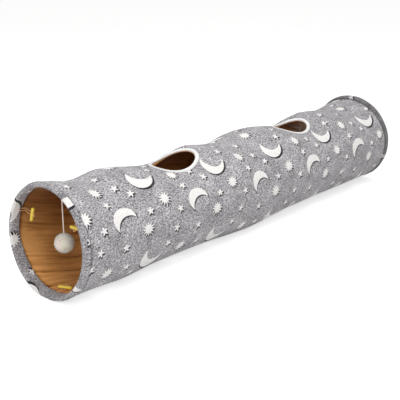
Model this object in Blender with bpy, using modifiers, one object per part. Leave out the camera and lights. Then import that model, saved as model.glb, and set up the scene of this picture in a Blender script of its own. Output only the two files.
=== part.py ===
# Collapsible cat tunnel: a plush tube held open by one sprung wire coil, with two peek holes,
# a hanging ball at the near mouth and another in the far peek hole, and toggles that tie it
# shut when it is squashed flat. Metres, +Z up, origin on the floor under the middle of the
# tunnel, near mouth at -X. Angles round the tunnel run from its top towards -Y.

import math
from bisect import bisect_right

import bmesh
import bpy
from mathutils import Matrix, Vector

# Tunnel
TUNNEL_LENGTH = 1.30
HOOP_RADIUS = 0.135
MOUTH_LEAN = 0.0165
WALL_FACETS = 24
WALL_ROWS = 22

# Cloth layers, from the outside in
COVER_CLOTH = 0.0030
LINING_CLOTH = 0.0012
WIRE_DIAMETER = 0.0022
WIRE_PLAY = 0.0012
SEAT_GAP = 0.0003
MERGE_DISTANCE = 0.00001

# Sag of the cloth between the turns of the coil
CREST_DROP = 0.012
HOLLOW_DROP = 0.012
FLANK_HOLLOW = 0.005
SAG_RUN = 0.16
FLANK_END_SHARE = 0.5

# Spring coil
COIL_TURN_SPACING = 0.277
CREST_STATION = 0.215
HOOP_TURN_GAP = 0.0011
RAMP_TURNS = 0.35
COIL_SIDES_RESOLUTION = 1

# Ferrules that close the end hoops
FERRULE_LENGTH = 0.014
FERRULE_WALL = 0.0004
FERRULE_ARC_STEPS = 6

# Rim bands
RIM_OUTER_WIDTH = 0.029
RIM_FACING_WIDTH = 0.038
RIM_FOLD_STEPS = 6

# Peek holes
NEAR_HOLE_STATION = 0.401
FAR_HOLE_STATION = 0.907
HOLE_HALF_LENGTH = 0.069
HOLE_HALF_WIDTH = 0.046
HOLE_ANGLE = math.radians(8.5)
HOLE_POINTS = 28
CUT_OVERRUN = 0.020

# Binding of the peek holes
BINDING_WIDTH = 0.008
BINDING_TAPE = 0.0012
BINDING_PLAY = 0.0013

# Hanging balls
BALL_RADIUS = 0.024
STRING_DIAMETER = 0.0020
NEAR_BALL_ANGLE = math.radians(5.5)
NEAR_BALL_HEIGHT = 0.123
FAR_BALL_STATION = 1.032
FAR_BALL_ANGLE = math.radians(-14)
FAR_BALL_HEIGHT = 0.155
BALL_SEGMENTS = 18
BALL_RINGS = 12
STRING_STEP = 0.006

# Tabs that carry the strings
TAB_WIDTH = 0.010
TAB_DROP = 0.010
TAB_THICKNESS = 0.0012
TAB_SEAT_PLAY = 0.0006
EYE_RADIUS = 0.0032
TAB_ARC_STEPS = 10

# Loop of string through a tab
STRING_LOOP_RADIUS = 0.0055
STRING_SEAT_PLAY = 0.0006
STRING_LOOP_SEGMENTS = 20
STRING_LOOP_SIDES = 6

# Toggles
TOGGLE_LENGTH = 0.036
TOGGLE_RADIUS = 0.0041
TOGGLE_HOLE_SPACING = 0.009
TOGGLE_HOLE_PLAY = 0.0004
TOGGLE_END_STEPS = 4
TOGGLE_SIDES = 14
TOGGLE_HOLE_SIDES = 12

# Elastic loops
ELASTIC_DIAMETER = 0.0026
ELASTIC_ROOT_SPACING = 0.006
PINCHED_RADIUS_SHARE = 0.35
PINCHED_LENGTH = 0.003
LOOP_BEHIND = 0.0022
LOOP_BEND_STEPS = 6
NEAR_LOOP_REACH = 0.028
FAR_LOOP_REACH = 0.030
FAR_LOOP_SPACING = 0.013

# Where the toggles hang. Angle round the mouth in degrees, then shares of the loop's reach:
# along the tunnel, towards +Y and upwards, and the bar's own direction in the same three.
TOGGLE_PLACE_SHARES = {
    "left": (-69, (-0.04, -0.97, -0.25), (0.00, 0.28, -0.96)),
    "right": (50, (-0.42, 0.70, -1.02), (0.10, 0.99, 0.06)),
    "bottom": (174, (0.46, 0.02, 0.20), (0.24, -0.97, 0.00)),
}

SMOOTH_ANGLE = math.radians(40)

CASING_SPACE = WIRE_DIAMETER + 2 * WIRE_PLAY
LINING_INSET = COVER_CLOTH + CASING_SPACE
WALL_STACK = LINING_INSET + LINING_CLOTH
FACING_STACK = LINING_INSET + COVER_CLOTH
WIRE_INSET = COVER_CLOTH + CASING_SPACE / 2
RIM_FOLD_RADIUS = FACING_STACK / 2
HOOP_TURN_STEP = WIRE_DIAMETER + HOOP_TURN_GAP
HOOP_TURNS = 1 + 2 / WALL_FACETS
AXIS_HEIGHT = HOOP_RADIUS * math.cos(math.pi / WALL_FACETS)
LEAN_RATE = MOUTH_LEAN / (2 * HOOP_RADIUS)
FACET_SAG = HOOP_RADIUS - AXIS_HEIGHT

parts = None
cutters = None


def clear_scene():
    for scene_object in list(bpy.data.objects):
        bpy.data.objects.remove(scene_object, do_unlink=True)


def new_collection(name):
    collection = bpy.data.collections.new(name)
    bpy.context.scene.collection.children.link(collection)
    return collection


def finish_material(name, colour, roughness, metallic=0.0):
    material = bpy.data.materials.new(name)
    material.use_nodes = True
    shader = material.node_tree.nodes["Principled BSDF"]
    shader.inputs["Base Color"].default_value = (*colour, 1.0)
    shader.inputs["Roughness"].default_value = roughness
    shader.inputs["Metallic"].default_value = metallic
    return material


def add_object(name, data, material, collection=None):
    scene_object = bpy.data.objects.new(name, data)
    (collection or parts).objects.link(scene_object)
    if material:
        data.materials.append(material)
    return scene_object


def mesh_object(name, shape, material, collection=None):
    mesh = bpy.data.meshes.new(name)
    shape.to_mesh(mesh)
    shape.free()
    mesh.shade_smooth()
    mesh.set_sharp_from_angle(angle=SMOOTH_ANGLE)
    return add_object(name, mesh, material, collection)


def smooth_step(share):
    share = max(0.0, min(1.0, share))
    return share * share * (3 - 2 * share)


def wall_point(station, angle, inset):
    """Point of the sagging wall, a station along the tunnel and an angle round it."""
    ease = smooth_step(min(station, TUNNEL_LENGTH - station) / SAG_RUN)
    phase = 2 * math.pi * (station - CREST_STATION) / COIL_TURN_SPACING - angle
    hollow = (1 - math.cos(phase)) / 2
    drop = ease * (CREST_DROP + HOLLOW_DROP * hollow) * max(0.0, math.cos(angle))
    flank = max(0.0, (math.cos(angle) + FLANK_END_SHARE) / (1 + FLANK_END_SHARE))
    radius = HOOP_RADIUS - inset - ease * FLANK_HOLLOW * hollow * flank
    height = AXIS_HEIGHT + radius * math.cos(angle) - drop
    lean = LEAN_RATE * (1 - 2 * station / TUNNEL_LENGTH) * height
    return Vector((station - TUNNEL_LENGTH / 2 + lean, -radius * math.sin(angle), height))


def facet_angle(index):
    return 2 * math.pi * (index + 0.5) / WALL_FACETS


def facet_turn(angle):
    """Angle of the middle of the facet that spans an angle."""
    return 2 * math.pi * round(angle / (2 * math.pi) * WALL_FACETS) / WALL_FACETS


def even_rows(first, last, count):
    return [first + (last - first) * step / count for step in range(count + 1)]


COVER_ROWS = even_rows(RIM_OUTER_WIDTH + SEAT_GAP,
                       TUNNEL_LENGTH - RIM_OUTER_WIDTH - SEAT_GAP, WALL_ROWS)


def row_point(station, angle, inset):
    """Point of the wall where it runs straight from one row to the next."""
    row = bisect_right(COVER_ROWS, station) - 1
    if row < 0 or row >= WALL_ROWS:
        return wall_point(station, angle, inset)
    share = (station - COVER_ROWS[row]) / (COVER_ROWS[row + 1] - COVER_ROWS[row])
    return wall_point(COVER_ROWS[row], angle, inset).lerp(
        wall_point(COVER_ROWS[row + 1], angle, inset), share)


def facet_point(station, angle, inset):
    """Point on the flat facet that spans an angle, between its two straight edges."""
    facet = angle / (2 * math.pi) * WALL_FACETS - 0.5
    index = math.floor(facet)
    return row_point(station, facet_angle(index), inset).lerp(
        row_point(station, facet_angle(index + 1), inset), facet - index)


def swept_section(name, section, around, place, material):
    """A closed section carried once round: place gives each of its corners at each step."""
    sheet = bmesh.new()
    bmesh.ops.create_grid(sheet, x_segments=len(section), y_segments=around, size=1.0)
    for corner in sheet.verts:
        row = round((corner.co.x + 1) / 2 * len(section)) % len(section)
        step = round((corner.co.y + 1) / 2 * around) % around
        corner.co = place(step, *section[row])
    bmesh.ops.remove_doubles(sheet, verts=sheet.verts, dist=MERGE_DISTANCE)
    bmesh.ops.triangulate(sheet, faces=sheet.faces)
    return mesh_object(name, sheet, material)


def wall_cloth(name, section, material):
    return swept_section(
        name, section, WALL_FACETS,
        lambda step, station, inset: wall_point(station, facet_angle(-step), inset), material)


def cloth_section(rows, inset, thickness):
    return ([(row, inset) for row in rows]
            + [(row, inset + thickness) for row in reversed(rows)])


def lining_rows():
    first = RIM_FACING_WIDTH + SEAT_GAP
    last = TUNNEL_LENGTH - first
    return [first] + [row for row in COVER_ROWS if first < row < last] + [last]


def rim_section():
    """Section of a rim band: a strip folded over the hoop, its facing inside the mouth."""
    faces = []
    for depth in (0.0, COVER_CLOTH):
        radius = RIM_FOLD_RADIUS - depth
        face = [(RIM_FACING_WIDTH, FACING_STACK - depth)]
        for step in range(RIM_FOLD_STEPS + 1):
            turn = math.pi * step / RIM_FOLD_STEPS
            face.append((RIM_FOLD_RADIUS - radius * math.sin(turn),
                         RIM_FOLD_RADIUS + radius * math.cos(turn)))
        face.append((RIM_OUTER_WIDTH, depth))
        faces.append(face)
    return faces[0] + faces[1][::-1]


def rim_band(name, mirrored, material):
    section = rim_section()
    if mirrored:
        section = [(TUNNEL_LENGTH - station, inset) for station, inset in reversed(section)]
    return wall_cloth(name, section, material)


def hole_edge_point(hole_station, turn, spread, inset):
    """Point on an oval round a peek hole, spread outside its cut edge."""
    across = (HOLE_HALF_WIDTH + spread) * math.sin(turn)
    station = hole_station + (HOLE_HALF_LENGTH + spread) * math.cos(turn)
    return row_point(station, HOLE_ANGLE + math.asin(across / HOOP_RADIUS), inset)


def hole_cutter(name, hole_station):
    """Oval plug through the wall, with rings of its own at the wall's two faces."""
    levels = (-CUT_OVERRUN, 0.0, WALL_STACK, WALL_STACK + CUT_OVERRUN)
    height = len(levels) - 1
    plug = bmesh.new()
    bmesh.ops.create_cone(plug, cap_ends=True, segments=HOLE_POINTS,
                          radius1=1.0, radius2=1.0, depth=height)
    for level in range(1, height):
        everything = plug.verts[:] + plug.edges[:] + plug.faces[:]
        bmesh.ops.bisect_plane(plug, geom=everything, plane_no=(0, 0, 1),
                               plane_co=(0, 0, level - height / 2))
    for corner in plug.verts:
        turn = math.atan2(corner.co.y, corner.co.x)
        inset = levels[round(corner.co.z + height / 2)]
        corner.co = hole_edge_point(hole_station, turn, 0.0, inset)
    bmesh.ops.triangulate(plug, faces=plug.faces)
    cutter = mesh_object(name, plug, None, cutters)
    cutter.hide_render = True
    cutter.display_type = "WIRE"
    return cutter


def cut(target, cutter):
    hole = target.modifiers.new("Cut " + cutter.name, "BOOLEAN")
    hole.operation = "DIFFERENCE"
    hole.solver = "EXACT"
    hole.object = cutter


def binding_section():
    """Section of the tape folded over a hole's edge, as spread and inset."""
    over = -BINDING_PLAY
    under = WALL_STACK + FACET_SAG + BINDING_PLAY
    fold = -SEAT_GAP
    tape = BINDING_TAPE
    return [(BINDING_WIDTH, under), (fold, under), (fold, over), (BINDING_WIDTH, over),
            (BINDING_WIDTH, over - tape), (0.0, over - tape), (fold - tape, over),
            (fold - tape, under), (0.0, under + tape), (BINDING_WIDTH, under + tape)]


def hole_binding(name, hole_station, material):
    return swept_section(
        name, binding_section(), HOLE_POINTS,
        lambda step, spread, inset: hole_edge_point(
            hole_station, 2 * math.pi * step / HOLE_POINTS, spread, inset), material)


def tube(name, points, diameter, resolution, material, closed=False):
    curve = bpy.data.curves.new(name, "CURVE")
    curve.dimensions = "3D"
    curve.bevel_depth = diameter / 2
    curve.bevel_resolution = resolution
    curve.use_fill_caps = True
    spline = curve.splines.new("POLY")
    spline.points.add(len(points) - 1)
    for knot, place in zip(spline.points, points):
        knot.co = (*place, 1.0)
    spline.use_cyclic_u = closed
    return add_object(name, curve, material)


def coil_turns():
    """Turn count at which the wire starts, leaves each hoop and ends; whole at a top crossing."""
    ramp = (HOOP_TURN_STEP + COIL_TURN_SPACING) / 2 * RAMP_TURNS
    hoop = RIM_FOLD_RADIUS + HOOP_TURN_STEP * HOOP_TURNS + ramp
    ramp_end = 1 - (CREST_STATION - hoop) / COIL_TURN_SPACING
    far_start = 1 + (TUNNEL_LENGTH - hoop - CREST_STATION) / COIL_TURN_SPACING
    ends = RAMP_TURNS + HOOP_TURNS
    return ramp_end - ends, ramp_end, far_start, far_start + ends


def hoop_station(turns_in):
    """How far from its mouth the wire lies, a number of turns from its end."""
    if turns_in <= HOOP_TURNS:
        return RIM_FOLD_RADIUS + HOOP_TURN_STEP * turns_in
    into = turns_in - HOOP_TURNS
    rise = (COIL_TURN_SPACING - HOOP_TURN_STEP) * into * into / (2 * RAMP_TURNS)
    return RIM_FOLD_RADIUS + HOOP_TURN_STEP * turns_in + rise


def coil_points():
    start, ramp_end, far_start, end = coil_turns()
    first = math.ceil(start * WALL_FACETS - 0.5)
    last = math.floor(end * WALL_FACETS - 0.5)
    points = []
    for index in range(first, last + 1):
        turn = (index + 0.5) / WALL_FACETS
        if turn < ramp_end:
            station = hoop_station(turn - start)
        elif turn > far_start:
            station = TUNNEL_LENGTH - hoop_station(end - turn)
        else:
            station = CREST_STATION + COIL_TURN_SPACING * (turn - 1)
        points.append(row_point(station, 2 * math.pi * turn, WIRE_INSET))
    return points


def least_gap(points, diameter, apart):
    """Smallest clear distance between stretches of a tube that lie some points apart."""
    nearest = min((points[other] - points[index]).length
                  for index in range(len(points))
                  for other in range(index + apart, len(points)))
    return nearest - diameter


def outline_object(name, outlines, thickness, material):
    """A flat outline with its holes, given half its thickness to each side."""
    curve = bpy.data.curves.new(name, "CURVE")
    curve.dimensions = "2D"
    curve.fill_mode = "BOTH"
    curve.extrude = thickness / 2
    for outline in outlines:
        spline = curve.splines.new("POLY")
        spline.points.add(len(outline) - 1)
        for knot, place in zip(spline.points, outline):
            knot.co = (*place, 0.0, 1.0)
        spline.use_cyclic_u = True
    return add_object(name, curve, material)


def slot_outline(half_spacing, radius):
    """Two half rounds joined by straight sides, centred on the origin."""
    outline = []
    for side in (1, -1):
        for step in range(FERRULE_ARC_STEPS + 1):
            turn = math.pi * (step / FERRULE_ARC_STEPS - 0.5)
            outline.append((side * (half_spacing + radius * math.cos(turn)),
                            side * radius * math.sin(turn)))
    return outline


def frame_matrix(place, side, up):
    """Rotation and place with local Z along up and local X near side."""
    z_axis = up.normalized()
    y_axis = z_axis.cross(side).normalized()
    x_axis = y_axis.cross(z_axis)
    turn = Matrix((x_axis, y_axis, z_axis)).transposed()
    return Matrix.Translation(place) @ turn.to_4x4()


def ferrule(name, inner_pair, outer_pair, material):
    """Sleeve crimped over two strands of wire that lie side by side."""
    inner = (inner_pair[0] + inner_pair[1]) / 2
    outer = (outer_pair[0] + outer_pair[1]) / 2
    half_spacing = (outer - inner).length / 2
    bore = WIRE_DIAMETER / 2 + SEAT_GAP
    sleeve = outline_object(name, [slot_outline(half_spacing, bore + FERRULE_WALL),
                                   slot_outline(half_spacing, bore)],
                            FERRULE_LENGTH, material)
    sleeve.matrix_world = frame_matrix((inner + outer) / 2, outer - inner,
                                       inner_pair[1] - inner_pair[0])
    return sleeve


def ball(name, place, material):
    sphere = bmesh.new()
    bmesh.ops.create_uvsphere(sphere, u_segments=BALL_SEGMENTS, v_segments=BALL_RINGS,
                              radius=BALL_RADIUS)
    body = mesh_object(name, sphere, material)
    body.location = place
    return body


def string_tab(name, root, tilt, material):
    """Tape tab sewn under the wall at root, with an eye near its rounded end."""
    half = TAB_WIDTH / 2
    outline = [(half, 0.0), (-half, 0.0)]
    for step in range(TAB_ARC_STEPS + 1):
        turn = math.pi * (1 + step / TAB_ARC_STEPS)
        outline.append((half * math.cos(turn), -TAB_DROP + half * math.sin(turn)))
    eye = []
    for step in range(2 * TAB_ARC_STEPS):
        turn = math.pi * step / TAB_ARC_STEPS
        eye.append((EYE_RADIUS * math.cos(turn), -TAB_DROP + EYE_RADIUS * math.sin(turn)))
    tab = outline_object(name, [outline, eye], TAB_THICKNESS, material)
    upright = Matrix.Rotation(math.pi / 2, 4, "Z") @ Matrix.Rotation(math.pi / 2, 4, "X")
    tab.matrix_world = Matrix.Translation(root) @ tilt.to_4x4() @ upright
    return tab


def string_loop(name, pivot, top, material):
    """Ring in the plane of X and Z that hangs over a tab, its origin where it turns."""
    centre = top - Vector((0, 0, STRING_LOOP_RADIUS)) - pivot
    points = []
    for step in range(STRING_LOOP_SEGMENTS):
        turn = 2 * math.pi * step / STRING_LOOP_SEGMENTS
        points.append(centre + STRING_LOOP_RADIUS * Vector((math.sin(turn), 0, math.cos(turn))))
    loop = tube(name, points, STRING_DIAMETER, COIL_SIDES_RESOLUTION, material, closed=True)
    loop.location = pivot
    return loop


def hanging_ball(side, station, angle, height, materials):
    """Tab under the wall, loop of string through its eye, string, and ball at its end."""
    root = facet_point(station, angle, WALL_STACK + TAB_SEAT_PLAY)
    tilt = Matrix.Rotation(facet_turn(angle), 3, "X")
    string_tab(side + "_ball_tab", root, tilt, materials["tape"])
    eye = root + tilt @ Vector((0, 0, -TAB_DROP))
    seat = eye - Vector((0, 0, EYE_RADIUS - STRING_DIAMETER / 2 - STRING_SEAT_PLAY))
    strip = eye - Vector((0, 0, (EYE_RADIUS + TAB_WIDTH / 2) / 2))
    string_loop(side + "_string_loop", strip, seat, materials["string"])
    pivot = seat - Vector((0, 0, 2 * STRING_LOOP_RADIUS))
    top = pivot - Vector((0, 0, STRING_DIAMETER / 2 + SEAT_GAP))
    place = Vector((pivot.x, pivot.y, height))
    end = place + Vector((0, 0, BALL_RADIUS + SEAT_GAP))
    steps = max(2, round((top.z - end.z) / STRING_STEP))
    drop = [top - pivot + (end - top) * step / steps for step in range(steps + 1)]
    string = tube(side + "_ball_string", drop, STRING_DIAMETER, 2, materials["string"])
    string.location = pivot
    ball(side + "_ball", place, materials["ball"])


def toggle_profile():
    """Half section of a toggle bar, turned round its length, from its upper end down."""
    straight = TOGGLE_LENGTH / 2 - TOGGLE_RADIUS
    profile = []
    for end in (1, -1):
        arc = []
        for step in range(TOGGLE_END_STEPS + 1):
            turn = math.pi / 2 * step / TOGGLE_END_STEPS
            arc.append((TOGGLE_RADIUS * math.sin(turn),
                        end * (straight + TOGGLE_RADIUS * math.cos(turn))))
        profile += arc if end > 0 else arc[::-1]
    return profile


def toggle_bar(name, place, bar, through, material):
    """Turned bar with two cross holes for the elastic."""
    line = bmesh.new()
    corners = [line.verts.new((across, 0.0, along)) for across, along in toggle_profile()]
    for upper, lower in zip(corners, corners[1:]):
        line.edges.new((upper, lower))
    body = mesh_object(name, line, material)
    turning = body.modifiers.new("Turned bar", "SCREW")
    turning.steps = TOGGLE_SIDES
    turning.render_steps = TOGGLE_SIDES
    turning.use_merge_vertices = True
    turning.merge_threshold = MERGE_DISTANCE
    body.matrix_world = frame_matrix(place, through, bar)
    for side in (-1, 1):
        drill = bmesh.new()
        bmesh.ops.create_cone(drill, cap_ends=True, segments=TOGGLE_HOLE_SIDES,
                              radius1=ELASTIC_DIAMETER / 2 + TOGGLE_HOLE_PLAY,
                              radius2=ELASTIC_DIAMETER / 2 + TOGGLE_HOLE_PLAY,
                              depth=TOGGLE_LENGTH)
        cutter = mesh_object(f"{name} drill {side}", drill, None, cutters)
        cutter.hide_render = True
        cutter.display_type = "WIRE"
        centre = place + bar.normalized() * (side * TOGGLE_HOLE_SPACING / 2)
        cutter.matrix_world = frame_matrix(centre, bar, through)
        cut(body, cutter)
    return body


def bent_end(centre, bar, through, half_spacing, rise):
    """Half round of elastic from one strand to the other, bulging along through."""
    bend = []
    for step in range(LOOP_BEND_STEPS + 1):
        turn = math.pi * step / LOOP_BEND_STEPS
        bend.append(centre - bar * (half_spacing * math.cos(turn))
                    + through * (rise * math.sin(turn)))
    return bend


def elastic_loop(name, seam, inwards, centre, bar, through, spacing, material):
    """Doubled elastic from a seam out through a bar's two holes, or round an open end.

    Its ends are pinched where they are sewn in, so that it swings clear of the seam.
    """
    root = seam + inwards * (ELASTIC_DIAMETER / 2 * PINCHED_RADIUS_SHARE + SEAT_GAP)
    before = centre - through * (TOGGLE_RADIUS + ELASTIC_DIAMETER)
    behind = centre + through * TOGGLE_RADIUS
    half_root = (bar - inwards * bar.dot(inwards)).normalized() * (ELASTIC_ROOT_SPACING / 2)
    half = bar * (spacing / 2)
    neck = (before - root).normalized() * PINCHED_LENGTH
    points = [root - half_root, root - half_root + neck, before - half]
    points += bent_end(behind, bar, through, spacing / 2, LOOP_BEHIND + ELASTIC_DIAMETER / 2)
    points += [before + half, root + half_root + neck, root + half_root]
    loop = tube(name, [point - root for point in points], ELASTIC_DIAMETER, 1, material)
    for end in (0, -1):
        loop.data.splines[0].points[end].radius = PINCHED_RADIUS_SHARE
    loop.location = root
    return loop


def loop_seam(degrees, mirrored):
    """Where an elastic loop leaves the facing of a rim band, and the way inwards there."""
    station = RIM_FACING_WIDTH - ELASTIC_DIAMETER
    if mirrored:
        station = TUNNEL_LENGTH - station
    angle = math.radians(degrees)
    turn = facet_turn(angle)
    seam = facet_point(station, angle, FACING_STACK)
    return seam, Vector((0.0, math.sin(turn), -math.cos(turn)))


def near_toggles(materials):
    for side, (degrees, reach_shares, bar_shares) in TOGGLE_PLACE_SHARES.items():
        seam, inwards = loop_seam(degrees, False)
        reach = Vector(reach_shares) * NEAR_LOOP_REACH
        bar = Vector(bar_shares).normalized()
        centre = seam + reach
        through = (reach - bar * reach.dot(bar)).normalized()
        toggle_bar("toggle_" + side, centre, bar, through, materials["toggle"])
        elastic_loop("toggle_loop_" + side, seam, inwards, centre, bar, through,
                     TOGGLE_HOLE_SPACING, materials["elastic"])


def far_loops(materials):
    for side, (degrees, _, _) in TOGGLE_PLACE_SHARES.items():
        seam, inwards = loop_seam(degrees, True)
        along = inwards.cross(Vector((1.0, 0.0, 0.0)))
        centre = seam + inwards * FAR_LOOP_REACH
        elastic_loop("far_loop_" + side, seam, inwards, centre, along, inwards,
                     FAR_LOOP_SPACING, materials["elastic"])


def axis_empty(name, place):
    empty = bpy.data.objects.new(name, None)
    parts.objects.link(empty)
    empty.location = place
    return empty


def hang_on(carried):
    """Parent each piece to what carries it, leaving everything where it stands."""
    bpy.context.view_layer.update()
    for carrier_name, piece_names in carried.items():
        carrier = bpy.data.objects[carrier_name]
        for piece_name in piece_names:
            piece = bpy.data.objects[piece_name]
            piece.parent = carrier
            piece.matrix_parent_inverse = carrier.matrix_world.inverted()


def main():
    global parts, cutters
    clear_scene()
    parts = new_collection("Cat tunnel")
    cutters = new_collection("Cutters")
    materials = {
        "cover": finish_material("Grey plush", (0.38, 0.38, 0.40), 0.95),
        "rim": finish_material("Grey plush rim", (0.36, 0.36, 0.38), 0.95),
        "lining": finish_material("Brown lining", (0.28, 0.12, 0.04), 0.55),
        "binding": finish_material("Cream binding", (0.93, 0.91, 0.85), 0.85),
        "wire": finish_material("Spring steel", (0.45, 0.45, 0.47), 0.35, 1.0),
        "ferrule": finish_material("Crimped steel", (0.60, 0.60, 0.62), 0.40, 1.0),
        "tape": finish_material("Cream tape", (0.85, 0.80, 0.72), 0.85),
        "string": finish_material("Pale string", (0.85, 0.76, 0.70), 0.80),
        "ball": finish_material("Greige ball", (0.66, 0.58, 0.50), 0.95),
        "toggle": finish_material("Yellow toggle", (0.95, 0.72, 0.12), 0.40),
        "elastic": finish_material("Tan elastic", (0.62, 0.32, 0.12), 0.75),
    }

    cover = wall_cloth("outer_cover", cloth_section(COVER_ROWS, 0.0, COVER_CLOTH),
                       materials["cover"])
    lining = wall_cloth("inner_lining", cloth_section(lining_rows(), LINING_INSET,
                                                      LINING_CLOTH), materials["lining"])
    rim_band("near_rim_band", False, materials["rim"])
    rim_band("far_rim_band", True, materials["rim"])
    for side, station in (("near", NEAR_HOLE_STATION), ("far", FAR_HOLE_STATION)):
        cutter = hole_cutter(side + " hole cutter", station)
        cut(cover, cutter)
        cut(lining, cutter)
        hole_binding(side + "_hole_binding", station, materials["binding"])

    wire = coil_points()
    tube("spring_coil", wire, WIRE_DIAMETER, COIL_SIDES_RESOLUTION, materials["wire"])
    ferrule("coil_ferrule_near", wire[:2], wire[WALL_FACETS:WALL_FACETS + 2],
            materials["ferrule"])
    ferrule("coil_ferrule_far", wire[-WALL_FACETS - 2:-WALL_FACETS], wire[-2:],
            materials["ferrule"])
    gap = least_gap(wire, WIRE_DIAMETER, WALL_FACETS // 2)
    print(f"Least gap between turns of the coil: {gap * 1000:.2f} mm")

    near_station = RIM_FACING_WIDTH + SEAT_GAP + TAB_THICKNESS
    hanging_ball("near", near_station, NEAR_BALL_ANGLE, NEAR_BALL_HEIGHT, materials)
    hanging_ball("far", FAR_BALL_STATION, FAR_BALL_ANGLE, FAR_BALL_HEIGHT, materials)
    near_toggles(materials)
    far_loops(materials)

    axis_empty("far_end_slide", (TUNNEL_LENGTH / 2, 0, AXIS_HEIGHT))
    axis_empty("far_ball_slide", bpy.data.objects["far_ball_tab"].matrix_world.translation)
    carried = {
        "far_end_slide": ["far_rim_band", "coil_ferrule_far"],
        "far_ball_slide": ["far_ball_tab", "far_string_loop"],
    }
    for side in TOGGLE_PLACE_SHARES:
        carried["far_end_slide"].append("far_loop_" + side)
        carried["toggle_loop_" + side] = ["toggle_" + side]
    for side in ("near", "far"):
        carried[side + "_string_loop"] = [side + "_ball_string"]
        carried[side + "_ball_string"] = [side + "_ball"]
    hang_on(carried)


main()
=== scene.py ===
"""Cat tunnel, dressed: plush cover, satin lining, wire coil, peek holes, balls and toggles."""

import math

import bmesh
import bpy
import numpy as np
from mathutils import Matrix, Vector, noise


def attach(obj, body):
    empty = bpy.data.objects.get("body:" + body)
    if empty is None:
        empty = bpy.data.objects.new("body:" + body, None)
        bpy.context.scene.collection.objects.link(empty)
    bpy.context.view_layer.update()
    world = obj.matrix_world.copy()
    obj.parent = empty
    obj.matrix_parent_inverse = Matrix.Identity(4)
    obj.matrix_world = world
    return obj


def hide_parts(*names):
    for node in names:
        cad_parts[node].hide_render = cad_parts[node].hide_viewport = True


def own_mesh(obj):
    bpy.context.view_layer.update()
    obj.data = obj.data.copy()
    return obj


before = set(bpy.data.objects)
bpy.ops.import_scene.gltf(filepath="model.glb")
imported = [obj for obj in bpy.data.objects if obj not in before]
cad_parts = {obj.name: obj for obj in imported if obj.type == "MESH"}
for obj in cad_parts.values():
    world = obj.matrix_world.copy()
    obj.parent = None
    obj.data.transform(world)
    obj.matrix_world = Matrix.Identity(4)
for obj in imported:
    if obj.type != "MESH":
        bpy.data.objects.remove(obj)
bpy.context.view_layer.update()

# The tunnel's form, as in the part's source, in metres. A station is a distance from the near
# mouth; an angle is 0 at the top and grows towards the viewer; an inset is a depth under the cover.
LENGTH = 1.30
RADIUS = 0.135
FACETS = 24
LEAN_RATE = 0.0165 / 0.270
AXIS_HEIGHT = RADIUS * math.cos(math.pi / FACETS)
COVER_CLOTH = 0.0030
LINING_CLOTH = 0.0012
WIRE = 0.0022
LINING_INSET = 0.0076
WIRE_INSET = 0.0053
FACING_STACK = 0.0106
CREST_DROP = 0.012
HOLLOW_DROP = 0.012
FLANK_HOLLOW = 0.005
SAG_RUN = 0.16
FLANK_END_SHARE = 0.5
TURN_SPACING = 0.277
CREST_STATION = 0.215
RIM_OUTER = 0.029
RIM_FACING = 0.038
HOLE_STATIONS = {"near": 0.401, "far": 0.907}
HOLE_HALF_LENGTH = 0.069
HOLE_HALF_WIDTH = 0.046
HOLE_MEAN_RADIUS = 0.056
HOLE_ANGLE = math.radians(8.5)
BALL_RADIUS = 0.024
STRING = 0.0020
ELASTIC = 0.0026
TOGGLE_LENGTH = 0.036
TOGGLE_RADIUS = 0.0041

# What the cloth does beyond the part's source. Bellies: how deep, where, and over what run
BELLIES = ((0.010, 0.64, 0.13), (0.005, 0.17, 0.07))
# Slumps of the wall beyond each hole: how deep, and where along the tunnel
HOLE_SLUMPS = ((0.019, 0.412), (0.013, 0.955))
SLUMP_RUN = 0.085
SLUMP_ANGLE = -0.60
SLUMP_SPREAD = 0.33
# Dip of the wall in front of the far rim: how deep, then where it starts, deepens, ends and fades
COLLAR_DIP = 0.009
COLLAR_START, COLLAR_RISE, COLLAR_END, COLLAR_FADE = 0.009, 0.022, 0.045, 0.10
CREASE_SLANT = 2.6

# Rim bands: where they turn over the hoop, and the widths that show inside and outside
FOLD = FACING_STACK / 2
FACING_SHOWN = 0.0265
TOP_STRIP = 0.0135
SIDE_STRIP = 0.0215
FAR_STRIP = 0.0225
# Where cover and lining end under the bands, and where their rings begin
COVER_END = 0.009
LINING_END = 0.021
SEAM_PLAY = 0.0004
# Mesh columns round the cover and round the lining
COVER_AROUND = 136
LINING_AROUND = 192
# Corners of the band's section under this inset belong to its outside strip
BAND_REACH = (FOLD + LINING_INSET) / 2

# Tone of cloth that lies flat, with neither painted shade nor painted light, on the scale of the
# painted shading marked on each mesh
FLAT = 0.55
STRING_RADIUS = 0.0015
STRING_LOOP = 0.0055
CORE_RADIUS = BALL_RADIUS - 0.0026
PILE_LENGTH = 0.0022
# Each ball: where it hangs, its loop's and its string's tops, its middle's height and its seed
BALLS = {
    "near": ((-0.59592, -0.01195), (0.24220, 0.22990), 0.123, 4),
    "far": ((0.37331, 0.02745), (0.23072, 0.21842), 0.155, 9),
}
# Each sewn tab: its root, its tilt and the body that carries it
TABS = {
    "near": ((-0.59592, -0.01195, 0.2538), 0.0, "near_end"),
    "far": ((0.37331, 0.03004, 0.24198), -2 * math.pi / FACETS, "far_ball_mount"),
}
TAB_HALF_WIDTH = 0.005
TAB_DROP = 0.010
TAB_EYE = 0.0032
TAB_CLOTH = 0.0012
# Each toggle: the degrees round its root, the way to its middle, and the way its bar points
TOGGLES = {
    "left": (-69, (-0.04, -0.97, -0.25), (0.00, 0.28, -0.96)),
    "right": (50, (-0.42, 0.70, -1.12), (0.10, 0.99, -0.10)),
    "bottom": (174, (0.46, 0.02, 0.16), (0.42, -0.91, 0.00)),
}
TOGGLE_REACH = 0.028
TOGGLE_HOLES = 0.009
LOOP_REACH = 0.030
LOOP_WIDTH = 0.013
HALF_ROOT = 0.003
HIDDEN_STATION = 0.0215


# ---------------------------------------------------------------- camera, floor, light

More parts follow.
